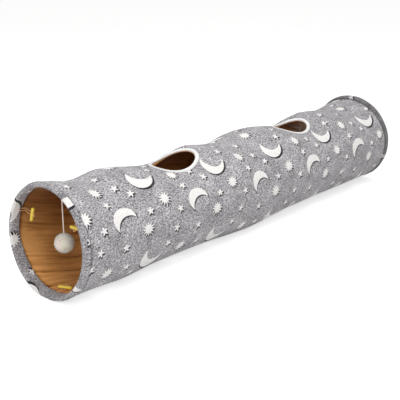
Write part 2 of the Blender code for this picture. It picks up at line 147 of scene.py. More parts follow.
def aim(thing, place, target):
    """A camera or lamp, put in its place and turned to its target."""
    thing.location = place
    thing.rotation_euler = (Vector(target) - Vector(place)).to_track_quat("-Z", "Y").to_euler()
    return thing


def link(thing):
    """An object, put in the scene."""
    bpy.context.scene.collection.objects.link(thing)
    return thing


def place_camera():
    """The photograph's view, as fitted to the mouth, the outline and the peek holes."""
    lens = bpy.data.cameras.new("Camera")
    lens.lens = 74.105
    lens.sensor_width = 36.0
    lens.clip_start = 0.02
    camera = link(bpy.data.objects.new("Camera", lens))
    aim(camera, (-1.6832, -1.3910, 0.8170), (-0.1217, 0.0, 0.1018))
    bpy.context.scene.camera = camera


def soft_box(name, place, target, size, power):
    """A wide lamp, its size in metres and its power in watts."""
    lamp = bpy.data.lights.new(name, "AREA")
    lamp.shape = "RECTANGLE"
    lamp.size, lamp.size_y = size
    lamp.energy = power
    return aim(link(bpy.data.objects.new(name, lamp)), place, target)


def light_studio():
    """Three soft boxes, and a white room that the camera sees at full white."""
    soft_box("Overhead soft box", (-0.3, -0.5, 2.3), (0, 0, 0.1), (2.8, 2.2), 36)
    soft_box("Front soft box", (-1.9, -2.2, 1.5), (-0.2, 0, 0.1), (1.6, 1.4), 17)
    soft_box("Mouth soft box", (-2.4, -0.5, 1.0), (-0.6, 0, 0.1), (1.0, 1.0), 8)
    world = bpy.data.worlds.new("Studio")
    bpy.context.scene.world = world
    air = Recipe(world, "ShaderNodeOutputWorld")
    around = air.node("ShaderNodeBackground", Color=(1.0, 0.99, 0.985, 1), Strength=0.42)
    seen = air.node("ShaderNodeBackground", Color=(1, 1, 1, 1), Strength=1.0)
    air.close(air.to_camera(seen, around))


def lay_floor():
    """White floor: seen at full white apart from the object's own soft shadow."""
    sheet = bmesh.new()
    bmesh.ops.create_grid(sheet, x_segments=1, y_segments=1, size=14.0)
    mesh = bpy.data.meshes.new("Floor")
    sheet.to_mesh(mesh)
    floor = link(bpy.data.objects.new("Floor", mesh))
    floor.location = (0, 0, -0.0006)
    paint = material_recipe("Floor white")
    glow = paint.node("ShaderNodeEmission", Strength=0.62)
    dark = paint.node("ShaderNodeEmission", Strength=0.0)
    matt = paint.node("ShaderNodeBsdfDiffuse", Color=(0.82, 0.82, 0.82, 1))
    both = paint.node("ShaderNodeAddShader")
    paint.feed(both.inputs[0], matt.outputs[0])
    paint.feed(both.inputs[1], paint.to_camera(glow, dark))
    mesh.materials.append(paint.close(both.outputs[0]))


# ---------------------------------------------------------------- node trees

class Nodes:
    """A node tree, with short ways to add nodes and to join them."""

    def __init__(self, tree):
        self.tree = tree

    def socket(self, label, way, kind):
        """A way into the tree or out of it."""
        return self.tree.interface.new_socket(label, in_out=way, socket_type="NodeSocket" + kind)

    def node(self, kind, settings=None, **inputs):
        """A new node; each input by its label gets a value, or a socket to join."""
        made = self.tree.nodes.new(kind)
        for label, value in (settings or {}).items():
            setattr(made, label, value)
        for label, value in inputs.items():
            self.feed(made.inputs[label.replace("_", " ")], value)
        return made

    def feed(self, socket, value):
        """Give an input its value, or join a socket to it."""
        if isinstance(value, bpy.types.NodeSocket):
            self.tree.links.new(value, socket)
        else:
            socket.default_value = value

    def worked_out(self, kind, operation, values):
        """An arithmetic node, its inputs fed in order."""
        made = self.node(kind, {"operation": operation})
        for socket, value in zip(made.inputs, values):
            self.feed(socket, value)
        return made

    def sums(self, operation, *values):
        """Arithmetic on numbers."""
        return self.worked_out("ShaderNodeMath", operation, values).outputs[0]

    def place_sums(self, operation, *values):
        """Arithmetic on places."""
        return self.worked_out("ShaderNodeVectorMath", operation, values).outputs[0]

    def distance(self, place, centre):
        """How far a place is from a centre."""
        both = self.worked_out("ShaderNodeVectorMath", "DISTANCE", (place, centre))
        return both.outputs["Value"]


class Recipe(Nodes):
    """The nodes of a material, or of the world."""

    def __init__(self, owner, output="ShaderNodeOutputMaterial"):
        owner.use_nodes = True
        super().__init__(owner.node_tree)
        self.owner = owner
        self.tree.nodes.clear()
        self.output = self.node(output)

    def close(self, shader):
        """Finish the recipe with a shader, and hand over the material."""
        self.feed(self.output.inputs["Surface"], shader)
        return self.owner

    def surface(self, base, normal, **inputs):
        """Finish the recipe with one shader of this colour and relief."""
        shader = self.node("ShaderNodeBsdfPrincipled", Base_Color=base, Normal=normal, **inputs)
        return self.close(shader.outputs[0])

    def to_camera(self, seen, otherwise):
        """One shader for the camera's own rays, and another for all the other light."""
        mix = self.node("ShaderNodeMixShader")
        ray = self.node("ShaderNodeLightPath").outputs["Is Camera Ray"]
        for socket, value in zip(mix.inputs, (ray, otherwise.outputs[0], seen.outputs[0])):
            self.feed(socket, value)
        return mix.outputs[0]

    def places(self):
        """Where a point lies on the flat cloth, and where it lies in the tunnel."""
        where = self.node("ShaderNodeTexCoord")
        return where.outputs["UV"], where.outputs["Object"]

    def crease(self):
        """Painted shading marked on the mesh: painted shade in its folds, painted light on its
        ridges.
        """
        return self.node("ShaderNodeAttribute", {"attribute_name": "crease"}).outputs["Fac"]

    def weighed(self, first, first_weight, second, second_weight):
        """Two values added by their weights."""
        return self.sums("ADD", self.sums("MULTIPLY", first, first_weight),
                         self.sums("MULTIPLY", second, second_weight))

    def fractal(self, coordinates, scale, detail=3.0, roughness=0.5):
        """Cloudy noise."""
        made = self.node("ShaderNodeTexNoise", Vector=coordinates, Scale=scale, Detail=detail,
                         Roughness=roughness)
        return made.outputs["Fac"]

    def shift(self, coordinates, turn=0.0, stretch=(1, 1, 1)):
        """Places turned about the cloth's own normal, then stretched."""
        made = self.node("ShaderNodeMapping", Vector=coordinates, Rotation=(0, 0, turn),
                         Scale=stretch)
        return made.outputs[0]

    def ramp(self, share, *stops):
        """Colours by a share from 0 to 1, through the stops."""
        made = self.node("ShaderNodeValToRGB")
        band = made.color_ramp
        while len(band.elements) < len(stops):
            band.elements.new(0.5)
        for element, (place, colour) in zip(band.elements, stops):
            element.position = place
            element.color = (*colour, 1)
        self.feed(made.inputs[0], share)
        return made.outputs[0]

    def blend(self, share, first, second, kind="MIX"):
        """Two colours, each a socket or red, green and blue, put together by a share."""
        made = self.node("ShaderNodeMix", {"data_type": "RGBA", "blend_type": kind,
                                           "clamp_factor": True})
        for index, value in zip((0, 6, 7), (share, first, second)):
            self.feed(made.inputs[index], (*value, 1) if isinstance(value, tuple) else value)
        return made.outputs[2]

    def bump(self, height, strength, distance, before=None):
        """Fine relief, on top of the relief before."""
        made = self.node("ShaderNodeBump", Height=height, Strength=strength, Distance=distance)
        if before is not None:
            self.feed(made.inputs["Normal"], before)
        return made.outputs[0]


def colour(red, green, blue):
    """A colour as it looks on screen, from 0 to 255, made linear."""
    def linear(value):
        value /= 255
        return value / 12.92 if value <= 0.04045 else ((value + 0.055) / 1.055) ** 2.4
    return (linear(red), linear(green), linear(blue))


def shade(tone, share):
    """A tone made darker."""
    return tuple(share * c for c in tone)


def material_recipe(name):
    """A recipe for a new material."""
    return Recipe(bpy.data.materials.new(name))


# ---------------------------------------------------------------- moon-and-stars print

PRINT_REPEAT = (0.2455, 0.219)
GRAIN_SLANT = 0.0706
SHADOW_OFFSET = (0.0024, 0.0046)
SHADOW_SIZE = 1.05
MOON_RADIUS = 0.0345
BITE_RADIUS = 0.0325
BITE_OFFSET = 0.0240
SOFT_EDGE = 0.0005
# One repeat of the print: each motif's middle along and down the cloth, and its turn in degrees
MOONS = [((0.2431, 0.0848), -66), ((0.1469, 0.1821), 63)]
SUNS = [((0.1025, 0.0895), 4), ((0.0325, 0.1602), 11), ((0.2132, 0.0044), 17)]
STARS = [((0.1621, 0.0896), 10), ((0.1925, 0.1193), 40), ((0.1114, 0.1326), -8),
         ((0.2267, 0.1793), 22), ((0.0778, 0.1958), 0), ((0.0643, 0.0238), 33),
         ((0.1447, 0.0343), 14), ((0.0427, 0.0595), -20)]
# A rim band's strip holds its motifs once: across it from its fold, and round it
RIM_REPEAT = (0.30, 2 * math.pi * RADIUS)
RIM_PRINTS = {
    "near": ([((-0.0032, -0.162), -135), ((-0.0192, -0.381), 180), ((0.002, 0.060), 250),
              ((0.015, 0.326), 148)],
             [((0.0173, -0.240), 8)],
             [((0.0343, -0.334), 10), ((0.030, -0.087), 31), ((-0.014, 0.180), 0)]),
    "far": ([((0.022, -0.150), 30), ((0.004, 0.395), 100)],
            [((0.012, 0.090), 8), ((-0.012, -0.250), 3)],
            [((-0.0117, 0.000), 10), ((-0.011, 0.257), 31), ((0.024, 0.190), 0),
             ((-0.010, -0.120), 20)]),
}


def motif_group(name, inside):
    """Node group from a place, measured from a motif's middle, to the motif's cover there."""
    group = Nodes(bpy.data.node_groups.new(name, "ShaderNodeTree"))
    group.socket("Place", "INPUT", "Vector")
    group.socket("Share", "OUTPUT", "Float")
    start = group.node("NodeGroupInput")
    end = group.node("NodeGroupOutput")
    # 0 outside to 1 inside, over a soft printed edge
    edge = group.node("ShaderNodeMapRange", {"interpolation_type": "SMOOTHSTEP"},
                      Value=inside(group, start.outputs[0]), From_Min=-SOFT_EDGE,
                      From_Max=SOFT_EDGE)
    group.feed(end.inputs[0], edge.outputs[0])


def crescent(group, place):
    """How far inside a disc a place is, less a smaller disc set off towards +X."""
    disc = group.sums("SUBTRACT", MOON_RADIUS, group.distance(place, (0, 0, 0)))
    bite = group.sums("SUBTRACT", group.distance(place, (BITE_OFFSET, 0, 0)), BITE_RADIUS)
    return group.sums("MINIMUM", disc, bite)


def rayed(points, inner, outer, sharpness):
    """Star or sun: its radius swings between inner and outer, once for each ray."""
    def inside(group, place):
        """How far inside the star's outline a place is."""
        parts = group.node("ShaderNodeSeparateXYZ", Vector=place)
        turn = group.sums("ARCTAN2", parts.outputs[1], parts.outputs[0])
        swing = group.sums("PINGPONG", group.sums("MULTIPLY", turn, points / math.pi), 1.0)
        reach = group.sums("POWER", swing, sharpness)
        radius = group.sums("MULTIPLY_ADD", reach, outer - inner, inner)
        return group.sums("SUBTRACT", radius, group.distance(place, (0, 0, 0)))
    return inside


def print_share(paint, cloth, motifs, offset, size, repeat):
    """How much of each place on the cloth the motifs cover, moved by an offset and resized."""
    shares = []
    for group, (along, down), turn in motifs:
        place = paint.place_sums("SUBTRACT", cloth, (along + offset[0], down + offset[1], 0))
        # nearest repeat of the motif
        wrapped = paint.place_sums("WRAP", place, (repeat[0] / 2, repeat[1] / 2, 1),
                                   (-repeat[0] / 2, -repeat[1] / 2, -1))
        turned = paint.shift(wrapped, -math.radians(turn), (1 / size, 1 / size, 1))
        shares.append(paint.node("ShaderNodeGroup", {"node_tree": group}, Place=turned).outputs[0])
    total = shares[0]
    for share in shares[1:]:
        total = paint.sums("MAXIMUM", total, share)
    return total


def plush(name, motifs, repeat, dark=1.0):
    """Heather grey flannel plush with the moon-and-stars print, by the cloth's own UV in metres."""
    paint = material_recipe(name)
    cloth, space = paint.places()
    groups = [bpy.data.node_groups[n] for n in ("Crescent", "Sunburst", "Small star")]
    printed = [(group, place, turn) for group, kind in zip(groups, motifs) for place, turn in kind]
    white = print_share(paint, cloth, printed, (0, 0), 1.0, repeat)
    cast = print_share(paint, cloth, printed, SHADOW_OFFSET, SHADOW_SIZE, repeat)

    flecks = paint.fractal(space, 300, 2, 0.8)
    streaks = paint.fractal(paint.shift(cloth, turn=0.7, stretch=(110, 420, 1)), 1.0, 2, 0.6)
    clouds = paint.fractal(space, 24, 4, 0.6)
    heather = paint.ramp(paint.weighed(flecks, 0.60, streaks, 0.40),
                         (0.405, shade(colour(92, 89, 92), dark)),
                         (0.475, shade(colour(160, 157, 161), dark)),
                         (0.530, shade(colour(183, 181, 184), dark)),
                         (0.600, shade(colour(229, 227, 229), dark)))
    tone = paint.ramp(clouds, (0.34, (0.76, 0.75, 0.76)), (0.64, (1.10, 1.10, 1.10)))
    grey = paint.blend(1.0, heather, tone, "MULTIPLY")
    # painted shading from the mesh: painted shade in folds, grooves and seams, painted light on
    # ridges
    pressed = paint.ramp(paint.crease(), (0.0, (0.45, 0.44, 0.45)), (0.42, (0.94, 0.94, 0.94)),
                         (0.75, (1.06, 1.06, 1.06)))
    grey = paint.blend(1.0, grey, pressed, "MULTIPLY")
    shadowed = paint.blend(cast, grey, shade(colour(38, 36, 40), dark))
    pale = dark ** 0.4
    pile_white = paint.ramp(flecks, (0.36, shade(colour(228, 224, 222), pale)),
                            (0.58, shade(colour(252, 250, 248), pale)))
    dyed = paint.blend(white, shadowed, pile_white)

    pile = paint.fractal(space, 520, 2, 0.65)
    naps = paint.fractal(space, 110, 3, 0.6)
    lifted = paint.sums("ADD", pile, paint.sums("MULTIPLY", naps, 1.5))
    normal = paint.bump(paint.sums("MULTIPLY_ADD", white, 0.3, lifted), 0.6, 0.0016)
    return paint.surface(dyed, normal, Roughness=0.96, Specular_IOR_Level=0.12,
                         Sheen_Weight=0.22, Sheen_Roughness=0.6)


def satin_lining(name, painted_crown_shading):
    """Thin brown satin with a fine weave, painted shade in its creases and painted light on their
    ridges.

    Painted streaks of light and shade follow the mesh's slanting creases, strongest low in the
    tunnel.
    """
    paint = material_recipe(name)
    cloth, space = paint.places()
    clouds = paint.fractal(space, 9, 3, 0.5)
    tone = paint.weighed(clouds, 0.35, paint.crease(), 0.65)
    along_creases = paint.shift(cloth, turn=math.atan(0.127 * CREASE_SLANT))
    # painted streaks of light and shade along the creases
    streaks = paint.fractal(paint.shift(along_creases, stretch=(7, 95, 1)), 1.0, 3, 0.5)
    height = paint.node("ShaderNodeSeparateXYZ", Vector=space).outputs["Z"]
    low = paint.ramp(height, (0.07, (1.0,) * 3), (0.20, (0.35,) * 3))
    streaks = paint.sums("MULTIPLY", paint.sums("SUBTRACT", streaks, 0.48), low)
    tone = paint.sums("ADD", streaks, tone)
    brown = paint.ramp(tone, (0.22, colour(106, 62, 25)), (0.47, colour(178, 119, 60)),
                       (0.78, colour(230, 170, 102)))
    # painted shading by height towards the crown, set by the crown's multiplier
    crown = paint.ramp(height, (0.05, (1.07, 1.07, 1.07)), (0.225, painted_crown_shading))
    brown = paint.blend(1.0, brown, crown, "MULTIPLY")
    weave = paint.node("ShaderNodeTexWave", Vector=cloth, Scale=900.0, Distortion=0.4,
                       Detail=1.0)
    fine = paint.bump(weave.outputs["Fac"], 0.10, 0.0002)
    crumple = paint.fractal(paint.shift(cloth, stretch=(9, 46, 1)), 1.0, 4, 0.55)
    normal = paint.bump(crumple, 0.5, 0.004, fine)
    return paint.surface(brown, normal, Roughness=0.46, Specular_IOR_Level=0.40,
                         Sheen_Weight=0.06)


def woven_tape(name, tone, ribs=850.0, rough=0.85, wear_and_rib_shade=0.80):
    """Ribbed cotton tape or braid, with a little wear in its tone and painted shade between its
    ribs.
    """
    paint = material_recipe(name)
    cloth, space = paint.places()
    ribbing = paint.node("ShaderNodeTexWave", Vector=cloth, Scale=ribs, Distortion=0.6,
                         Detail=2.0)
    worn = paint.fractal(space, 130, 3, 0.6)
    base = paint.ramp(worn, (0.35, shade(tone, wear_and_rib_shade)), (0.58, tone))
    # painted shade between the ribs, where the relief is low
    shaded = paint.blend(paint.ramp(ribbing.outputs["Fac"], (0.1, (wear_and_rib_shade,) * 3),
                                    (0.5, (1, 1, 1))), (0, 0, 0), base)
    normal = paint.bump(ribbing.outputs["Fac"], 0.45, 0.0004)
    return paint.surface(shaded, normal, Roughness=rough, Specular_IOR_Level=0.2,
                         Sheen_Weight=0.15)


def twisted_yarn(name, tone):
    """Two-ply string: slanting plies by the string's own UV, with painted shade in the grooves
    between them.
    """
    paint = material_recipe(name)
    along_string, _ = paint.places()
    ply = paint.node("ShaderNodeTexWave", {"bands_direction": "DIAGONAL"},
                     Vector=paint.shift(along_string, stretch=(420, 2, 1)), Scale=1.0,
                     Distortion=0.3, Detail=1.5)
    base = paint.ramp(ply.outputs["Fac"], (0.15, shade(tone, 0.86)), (0.45, tone))
    normal = paint.bump(ply.outputs["Fac"], 0.6, 0.0005)
    return paint.surface(base, normal, Roughness=0.85, Specular_IOR_Level=0.2, Sheen_Weight=0.2)


def ball_plush(name):
    """Tufted greige pile, with painted shade between its tufts."""
    paint = material_recipe(name)
    _, space = paint.places()
    tuft = paint.fractal(space, 210, 4, 0.7)
    clouds = paint.fractal(space, 60, 2, 0.5)
    base = paint.ramp(paint.weighed(tuft, 0.6, clouds, 0.4),
                      (0.34, colour(222, 202, 186)), (0.47, colour(255, 240, 225)),
                      (0.60, colour(255, 250, 240)))
    return paint.surface(base, paint.bump(tuft, 0.6, 0.0015), Roughness=0.97,
                         Specular_IOR_Level=0.1, Sheen_Weight=0.7, Sheen_Roughness=0.6,
                         Subsurface_Weight=0.5, Subsurface_Scale=0.004)


def moulded_plastic(name, tone):
    """Plastic with faint flow marks and a fine moulded grain."""
    paint = material_recipe(name)
    _, space = paint.places()
    flow = paint.fractal(space, 70, 2, 0.5)
    base = paint.ramp(flow, (0.35, shade(tone, 0.90)), (0.65, tone))
    grain = paint.bump(paint.fractal(space, 900, 2, 0.5), 0.12, 0.0002)
    return paint.surface(base, grain, Roughness=0.38, Specular_IOR_Level=0.45,
                         Subsurface_Weight=0.06)


def drawn_steel(name, tone, rough, scratches):
    """Bare steel, darker where it is scratched."""
    paint = material_recipe(name)
    _, space = paint.places()
    wear = paint.fractal(space, scratches, 3, 0.6)
    base = paint.ramp(wear, (0.30, shade(tone, 0.75)), (0.65, tone))
    return paint.surface(base, paint.bump(wear, 0.15, 0.0002), Metallic=1.0, Roughness=rough)


# ---------------------------------------------------------------- the wall's form

def smooth(share):
    """0 to 1 with a soft start and a soft end."""
    share = np.clip(share, 0.0, 1.0)
    return share * share * (3 - 2 * share)


def wall(station, angle, inset):
    """Points of the sagging wall, laid flat where it meets the floor.

    The sag between the coil's turns is the part's own; bellies, slumps and collar are added here.
    """
    station, angle, inset = np.broadcast_arrays(*(np.asarray(v, float)
                                                  for v in (station, angle, inset)))
    ease = smooth(np.minimum(station, LENGTH - station) / SAG_RUN)
    hollow = (1 - np.cos(2 * math.pi * (station - CREST_STATION) / TURN_SPACING - angle)) / 2
    drop = ease * (CREST_DROP + HOLLOW_DROP * hollow) * np.maximum(0.0, np.cos(angle))
    flank = np.maximum(0.0, (np.cos(angle) + FLANK_END_SHARE) / (1 + FLANK_END_SHARE))
    radius = RADIUS - inset - ease * FLANK_HOLLOW * hollow * flank
    turn = np.mod(angle + math.pi, 2 * math.pi) - math.pi
    from_far = LENGTH - station
    collar = (smooth((from_far - COLLAR_START) / COLLAR_RISE)
              * (1 - smooth((from_far - COLLAR_END) / COLLAR_FADE)))
    drop = drop + COLLAR_DIP * collar * np.maximum(0.0, np.cos(turn))
    for depth, middle in HOLE_SLUMPS:
        drop = drop + depth * (np.exp(-((station - middle) / SLUMP_RUN) ** 2)
                               * np.exp(-((turn - SLUMP_ANGLE) / SLUMP_SPREAD) ** 2))
    belly = sum(depth * np.exp(-((station - middle) / run) ** 2) for depth, middle, run in BELLIES)
    radius = radius + belly * ease * smooth((-np.cos(angle) - 0.15) / 0.7)
    height = AXIS_HEIGHT + radius * np.cos(angle) - drop
    height = np.maximum(height, np.maximum(inset, 0.0))
    lean = LEAN_RATE * (1 - 2 * station / LENGTH) * height
    return np.stack([station - LENGTH / 2 + lean, -radius * np.sin(angle), height], -1)


def wobble(places, scale, seed):
    """Smooth noise at many places, about -1 to 1."""
    return np.array([noise.noise(Vector((x * scale + seed, y * scale - seed, z * scale)))
                     for x, y, z in places])


def cloth_place(station, angle):
    """Where a point of the cover lies on the flat cloth, which was sewn a little off its grain."""
    arc = RADIUS * angle
    creep = -0.0275 + 0.038 * smooth((station - 0.05) / 0.85)
    # the seam of the near hole drags the print with it
    creep = creep + 0.014 * np.exp(-((station - 0.485) / 0.045) ** 2 - ((arc - 0.088) / 0.05) ** 2)
    down = arc - creep
    return station + GRAIN_SLANT * down, down


def hole_share(station, angle):
    """Distance from the nearest peek hole's middle, 1 at its cut edge."""
    across = RADIUS * np.sin(angle - HOLE_ANGLE) / HOLE_HALF_WIDTH
    across = np.where(np.cos(angle - HOLE_ANGLE) > 0, across, 99.0)
    return np.min([np.hypot((station - middle) / HOLE_HALF_LENGTH, across)
                   for middle in HOLE_STATIONS.values()], axis=0)


def snap_to_hole(station, angle):
    """The same place moved to the cut edge of the peek hole that it is nearest."""
    middle = min(HOLE_STATIONS.values(), key=lambda m: abs(m - station))
    along = (station - middle) / HOLE_HALF_LENGTH
    across = RADIUS * math.sin(angle - HOLE_ANGLE) / HOLE_HALF_WIDTH
    reach = math.hypot(along, across)
    snapped = HOLE_ANGLE + math.asin(across / reach * HOLE_HALF_WIDTH / RADIUS)
    return (middle + along / reach * HOLE_HALF_LENGTH,
            snapped + 2 * math.pi * round((angle - snapped) / (2 * math.pi)))


def smooth_faces(mesh):
    """Shade every face of a mesh smooth."""
    for face in mesh.polygons:
        face.use_smooth = True


def mesh_piece(name, mesh, material):
    """A smooth piece from a mesh, in one material."""
    mesh.materials.append(material)
    smooth_faces(mesh)
    return link(bpy.data.objects.new(name, mesh))


def shell_piece(name, shell, material):
    """A piece from a bmesh, which is freed."""
    mesh = bpy.data.meshes.new(name)
    shell.to_mesh(mesh)
    shell.free()
    return mesh_piece(name, mesh, material)


def mark_painted_shading(mesh, creases):
    """Painted shading at each point: from 0, deepest painted shade, in a fold, to 1, painted light,
    on a ridge.
    """
    layer = mesh.attributes.new("crease", "FLOAT", "POINT")
    layer.data.foreach_set("value", np.array(creases, np.float32))


def finished(piece):
    """The piece with its modifiers made final."""
    bpy.context.view_layer.update()
    evaluated = piece.evaluated_get(bpy.context.evaluated_depsgraph_get())
    mesh = bpy.data.meshes.new_from_object(evaluated)
    piece.modifiers.clear()
    old = piece.data
    piece.data = mesh
    mesh.name = piece.name
    if old.users == 0:
        bpy.data.meshes.remove(old)
    return piece


def wall_sheet(name, stations, around, inset, thickness, ripple, material, twist=0.0):
    """Cloth round the whole tunnel with its two peek holes, in UV metres, given its thickness.

    Its mesh turns by twist radians for each metre along, so that slanting creases run with it.
    """
    count = len(stations)
    rows, turns = np.meshgrid(np.arange(count), np.arange(around), indexing="ij")
    station = stations[rows].ravel()
    angle = (turns.ravel() + 0.5) / around * 2 * math.pi - math.pi - twist * station
    share = hole_share(station, angle)
    inside = share < 1.0
    faces = []
    for row in range(count - 1):
        for turn in range(around):
            after = (turn + 1) % around
            corners = (row * around + turn, row * around + after,
                       (row + 1) * around + after, (row + 1) * around + turn)
            if not any(inside[c] for c in corners):
                faces.append((corners, turn))
    used = sorted({c for corners, _ in faces for c in corners})
    # cells dropped from a hole leave a stepped edge; its corners move to the oval
    seen = {}
    for corners, _ in faces:
        for a, b in zip(corners, corners[1:] + corners[:1]):
            key = (min(a, b), max(a, b))
            seen[key] = seen.get(key, 0) + 1
    edge = {v for key, times in seen.items() if times == 1 for v in key
            if share[v] < 1.6}
    for v in edge:
        station[v], angle[v] = snap_to_hole(station[v], angle[v])
    places = wall(station, angle, inset)
    # the ripple gives each point's lift and its painted shading
    lift, crease = ripple(station, angle, places, hole_share(station, angle))
    places = wall(station, angle, inset - lift)
    index = {v: i for i, v in enumerate(used)}
    mesh = bpy.data.meshes.new(name)
    mesh.from_pydata([tuple(places[v]) for v in used], [],
                     [tuple(index[c] for c in corners) for corners, _ in faces])
    cloth = mesh.uv_layers.new(name="Cloth")
    uv = []
    for corners, turn in faces:
        for c in corners:
            a = angle[c]
            if turn == around - 1 and c % around == 0:
                a += 2 * math.pi
            uv += cloth_place(station[c], a)
    cloth.data.foreach_set("uv", np.array(uv, np.float32))
    mark_painted_shading(mesh, [crease[v] for v in used])
    piece = mesh_piece(name, mesh, material)
    pressed = piece.vertex_groups.new(name="Pressed at the binding")
    loft = 0.35 + 0.65 * smooth((share - 1.0) / 0.22)
    for v in used:
        pressed.add([index[v]], float(loft[v]), "REPLACE")
    thick = piece.modifiers.new("Cloth", "SOLIDIFY")
    thick.thickness = thickness
    thick.offset = -1.0
    thick.vertex_group = pressed.name
    finished(piece)
    piece.vertex_groups.clear()
    piece.data.set_sharp_from_angle(angle=math.radians(60))
    return piece


def cover_ripple(station, angle, places, share):
    """Soft folds of the plush that run along the coil, gone at seams, holes and floor."""
    calm = smooth(np.minimum(station, LENGTH - station) / 0.09 - 0.3) * smooth((share - 1.0) / 0.5)
    calm *= smooth((places[:, 2] - 0.004) / 0.05)
    turn = 2 * math.pi * (station - CREST_STATION) / TURN_SPACING - angle
    ridge = np.exp(-((np.mod(turn + math.pi, 2 * math.pi) - math.pi) / 0.13) ** 2)
    slanting = np.stack([station * 14 + angle * 0.9, station * 5 - angle * 2.2,
                         0 * station], -1)
    broad = wobble(slanting, 1.0, 3.1)
    small = wobble(places, 26.0, 7.7)
    rays = [np.arctan2(RADIUS * np.sin(angle - HOLE_ANGLE), station - middle)
            for middle in HOLE_STATIONS.values()]
    ray = np.where(np.abs(station - HOLE_STATIONS["near"]) < 0.25, rays[0], rays[1])
    drag = np.cos(11 * ray + 2 * np.sin(3 * ray)) * np.exp(-((share - 1.45) / 0.28) ** 2)
    lift = calm * (0.0011 * ridge + 0.0022 * broad + 0.0008 * small + 0.0009 * drag)
    # painted shading: painted light on the folds' ridges and the coil's ridge, painted shade in
    # their hollows
    return lift, FLAT + calm * (0.30 * broad + 0.12 * drag + 0.12 * ridge)


def seam_station(angle):
    """Where the near rim band's outer edge is sewn: its strip is narrowest near the top."""
    return SIDE_STRIP - (SIDE_STRIP - TOP_STRIP) * smooth((np.cos(angle - 0.26) - 0.2) / 0.8)


def tucked_ripple(station, angle, places, share):
    """The cover's ends dip into the grooves where the rim bands are sewn down on them; painted
    shade darkens the grooves.
    """
    far = station > LENGTH / 2
    from_end = np.where(far, LENGTH - station, station)
    beside = (from_end - np.where(far, FAR_STRIP, seam_station(angle))) / 0.0038
    ring = np.stack([4 * np.cos(angle), 4 * np.sin(angle), station * 60], -1)
    pucker = 0.0004 * wobble(ring, 4.0, 2.2)
    fade = smooth((RIM_OUTER - from_end) / 0.004)
    groove = np.exp(-beside ** 2)
    # painted shade in the groove at the seam
    return fade * (pucker - 0.0018 * groove - 0.0007), FLAT - 0.60 * fade * groove


def lining_ripple(station, angle, places, share):
    """Lengthwise creases of the thin lining, slack between the turns of the coil."""
    calm = smooth(np.minimum(station, LENGTH - station) / 0.05 - 0.75)
    calm *= smooth((share - 1.0) / 0.5)
    turn = 2 * math.pi * (station - CREST_STATION) / TURN_SPACING - angle
    slack = 0.25 + 0.75 * (1 - np.cos(turn)) / 2
    slack = slack * (0.30 + 0.95 * smooth((0.19 - places[:, 2]) / 0.09))
    bent = station * 6.5 + 0.35 * np.sin(station * 31) + 0.2 * np.sin(angle * 3)
    slanting = 14.0 * (angle + CREASE_SLANT * station) + 0.9 * np.sin(station * 17)
    creases = wobble(np.stack([bent, slanting, 0 * station], -1), 1.0, 1.3)
    sharp = 1 - 5.0 * creases * creases
    narrow = wobble(np.stack([1.6 * bent, 1.75 * slanting, 0 * station], -1), 1.0, 5.7)
    low = smooth((0.15 - places[:, 2]) / 0.07)
    sharp = sharp + 0.55 * low * (np.clip(1 - 5.0 * narrow * narrow, -1, 1) - 0.4)
    broad = wobble(np.stack([station * 7, angle * 3, 0 * station], -1), 1.0, 9.2)
    lift = np.clip(calm * slack * (0.0023 * sharp - 0.0024 + 0.0013 * broad), -0.0052, 0.0008)
    sewn = 0.0062 * smooth((1.34 - share) / 0.34)
    # painted shadow of the rim band's facing edge, on the lining just inside it
    tucked = np.exp(-((np.minimum(station, LENGTH - station) - FACING_SHOWN) / 0.006) ** 2)
    # painted shading: painted light on the creases' ridges, painted shade in their folds
    return lift + sewn, 0.5 + 0.5 * slack * np.clip(sharp, -1, 1) - 0.6 * tucked


def hem_ripple(station, angle, places, share):
    """The lining's hem lies flat against the wire hoops; the rim band's edge shades it."""
    return 0 * station, lining_ripple(station, angle, places, share)[1]


# ---------------------------------------------------------------- swept bands

def swept_band(name, section, around, place, uv_place, material, pressed=None):
    """A closed section of (along, inset) corners, carried round once by its place function."""
    count = len(section)
    along = np.array([s[0] for s in section])
    inset = np.array([s[1] for s in section])
    turns = np.arange(around) / around * 2 * math.pi
    grid = np.array([place(turn, along, inset) for turn in turns])
    faces, uv = [], []
    for step in range(around):
        after = (step + 1) % around
        for corner in range(count):
            follow = (corner + 1) % count
            faces.append((step * count + corner, step * count + follow,
                          after * count + follow, after * count + corner))
            for s, c in ((step, corner), (step, corner + 1), (step + 1, corner + 1),
                         (step + 1, corner)):
                uv += uv_place(s / around * 2 * math.pi, c)
    mesh = bpy.data.meshes.new(name)
    mesh.from_pydata([tuple(p) for p in grid.reshape(-1, 3)], [], faces)
    layer = mesh.uv_layers.new(name="Cloth")
    layer.data.foreach_set("uv", np.array(uv, np.float32))
    # each corner's painted shading, the same all round the band
    mark_painted_shading(mesh, np.tile(np.full(count, FLAT) if pressed is None else pressed, around))
    shell = bmesh.new()
    shell.from_mesh(mesh)
    bmesh.ops.recalc_face_normals(shell, faces=shell.faces)
    shell.to_mesh(mesh)
    shell.free()
    return mesh_piece(name, mesh, material)


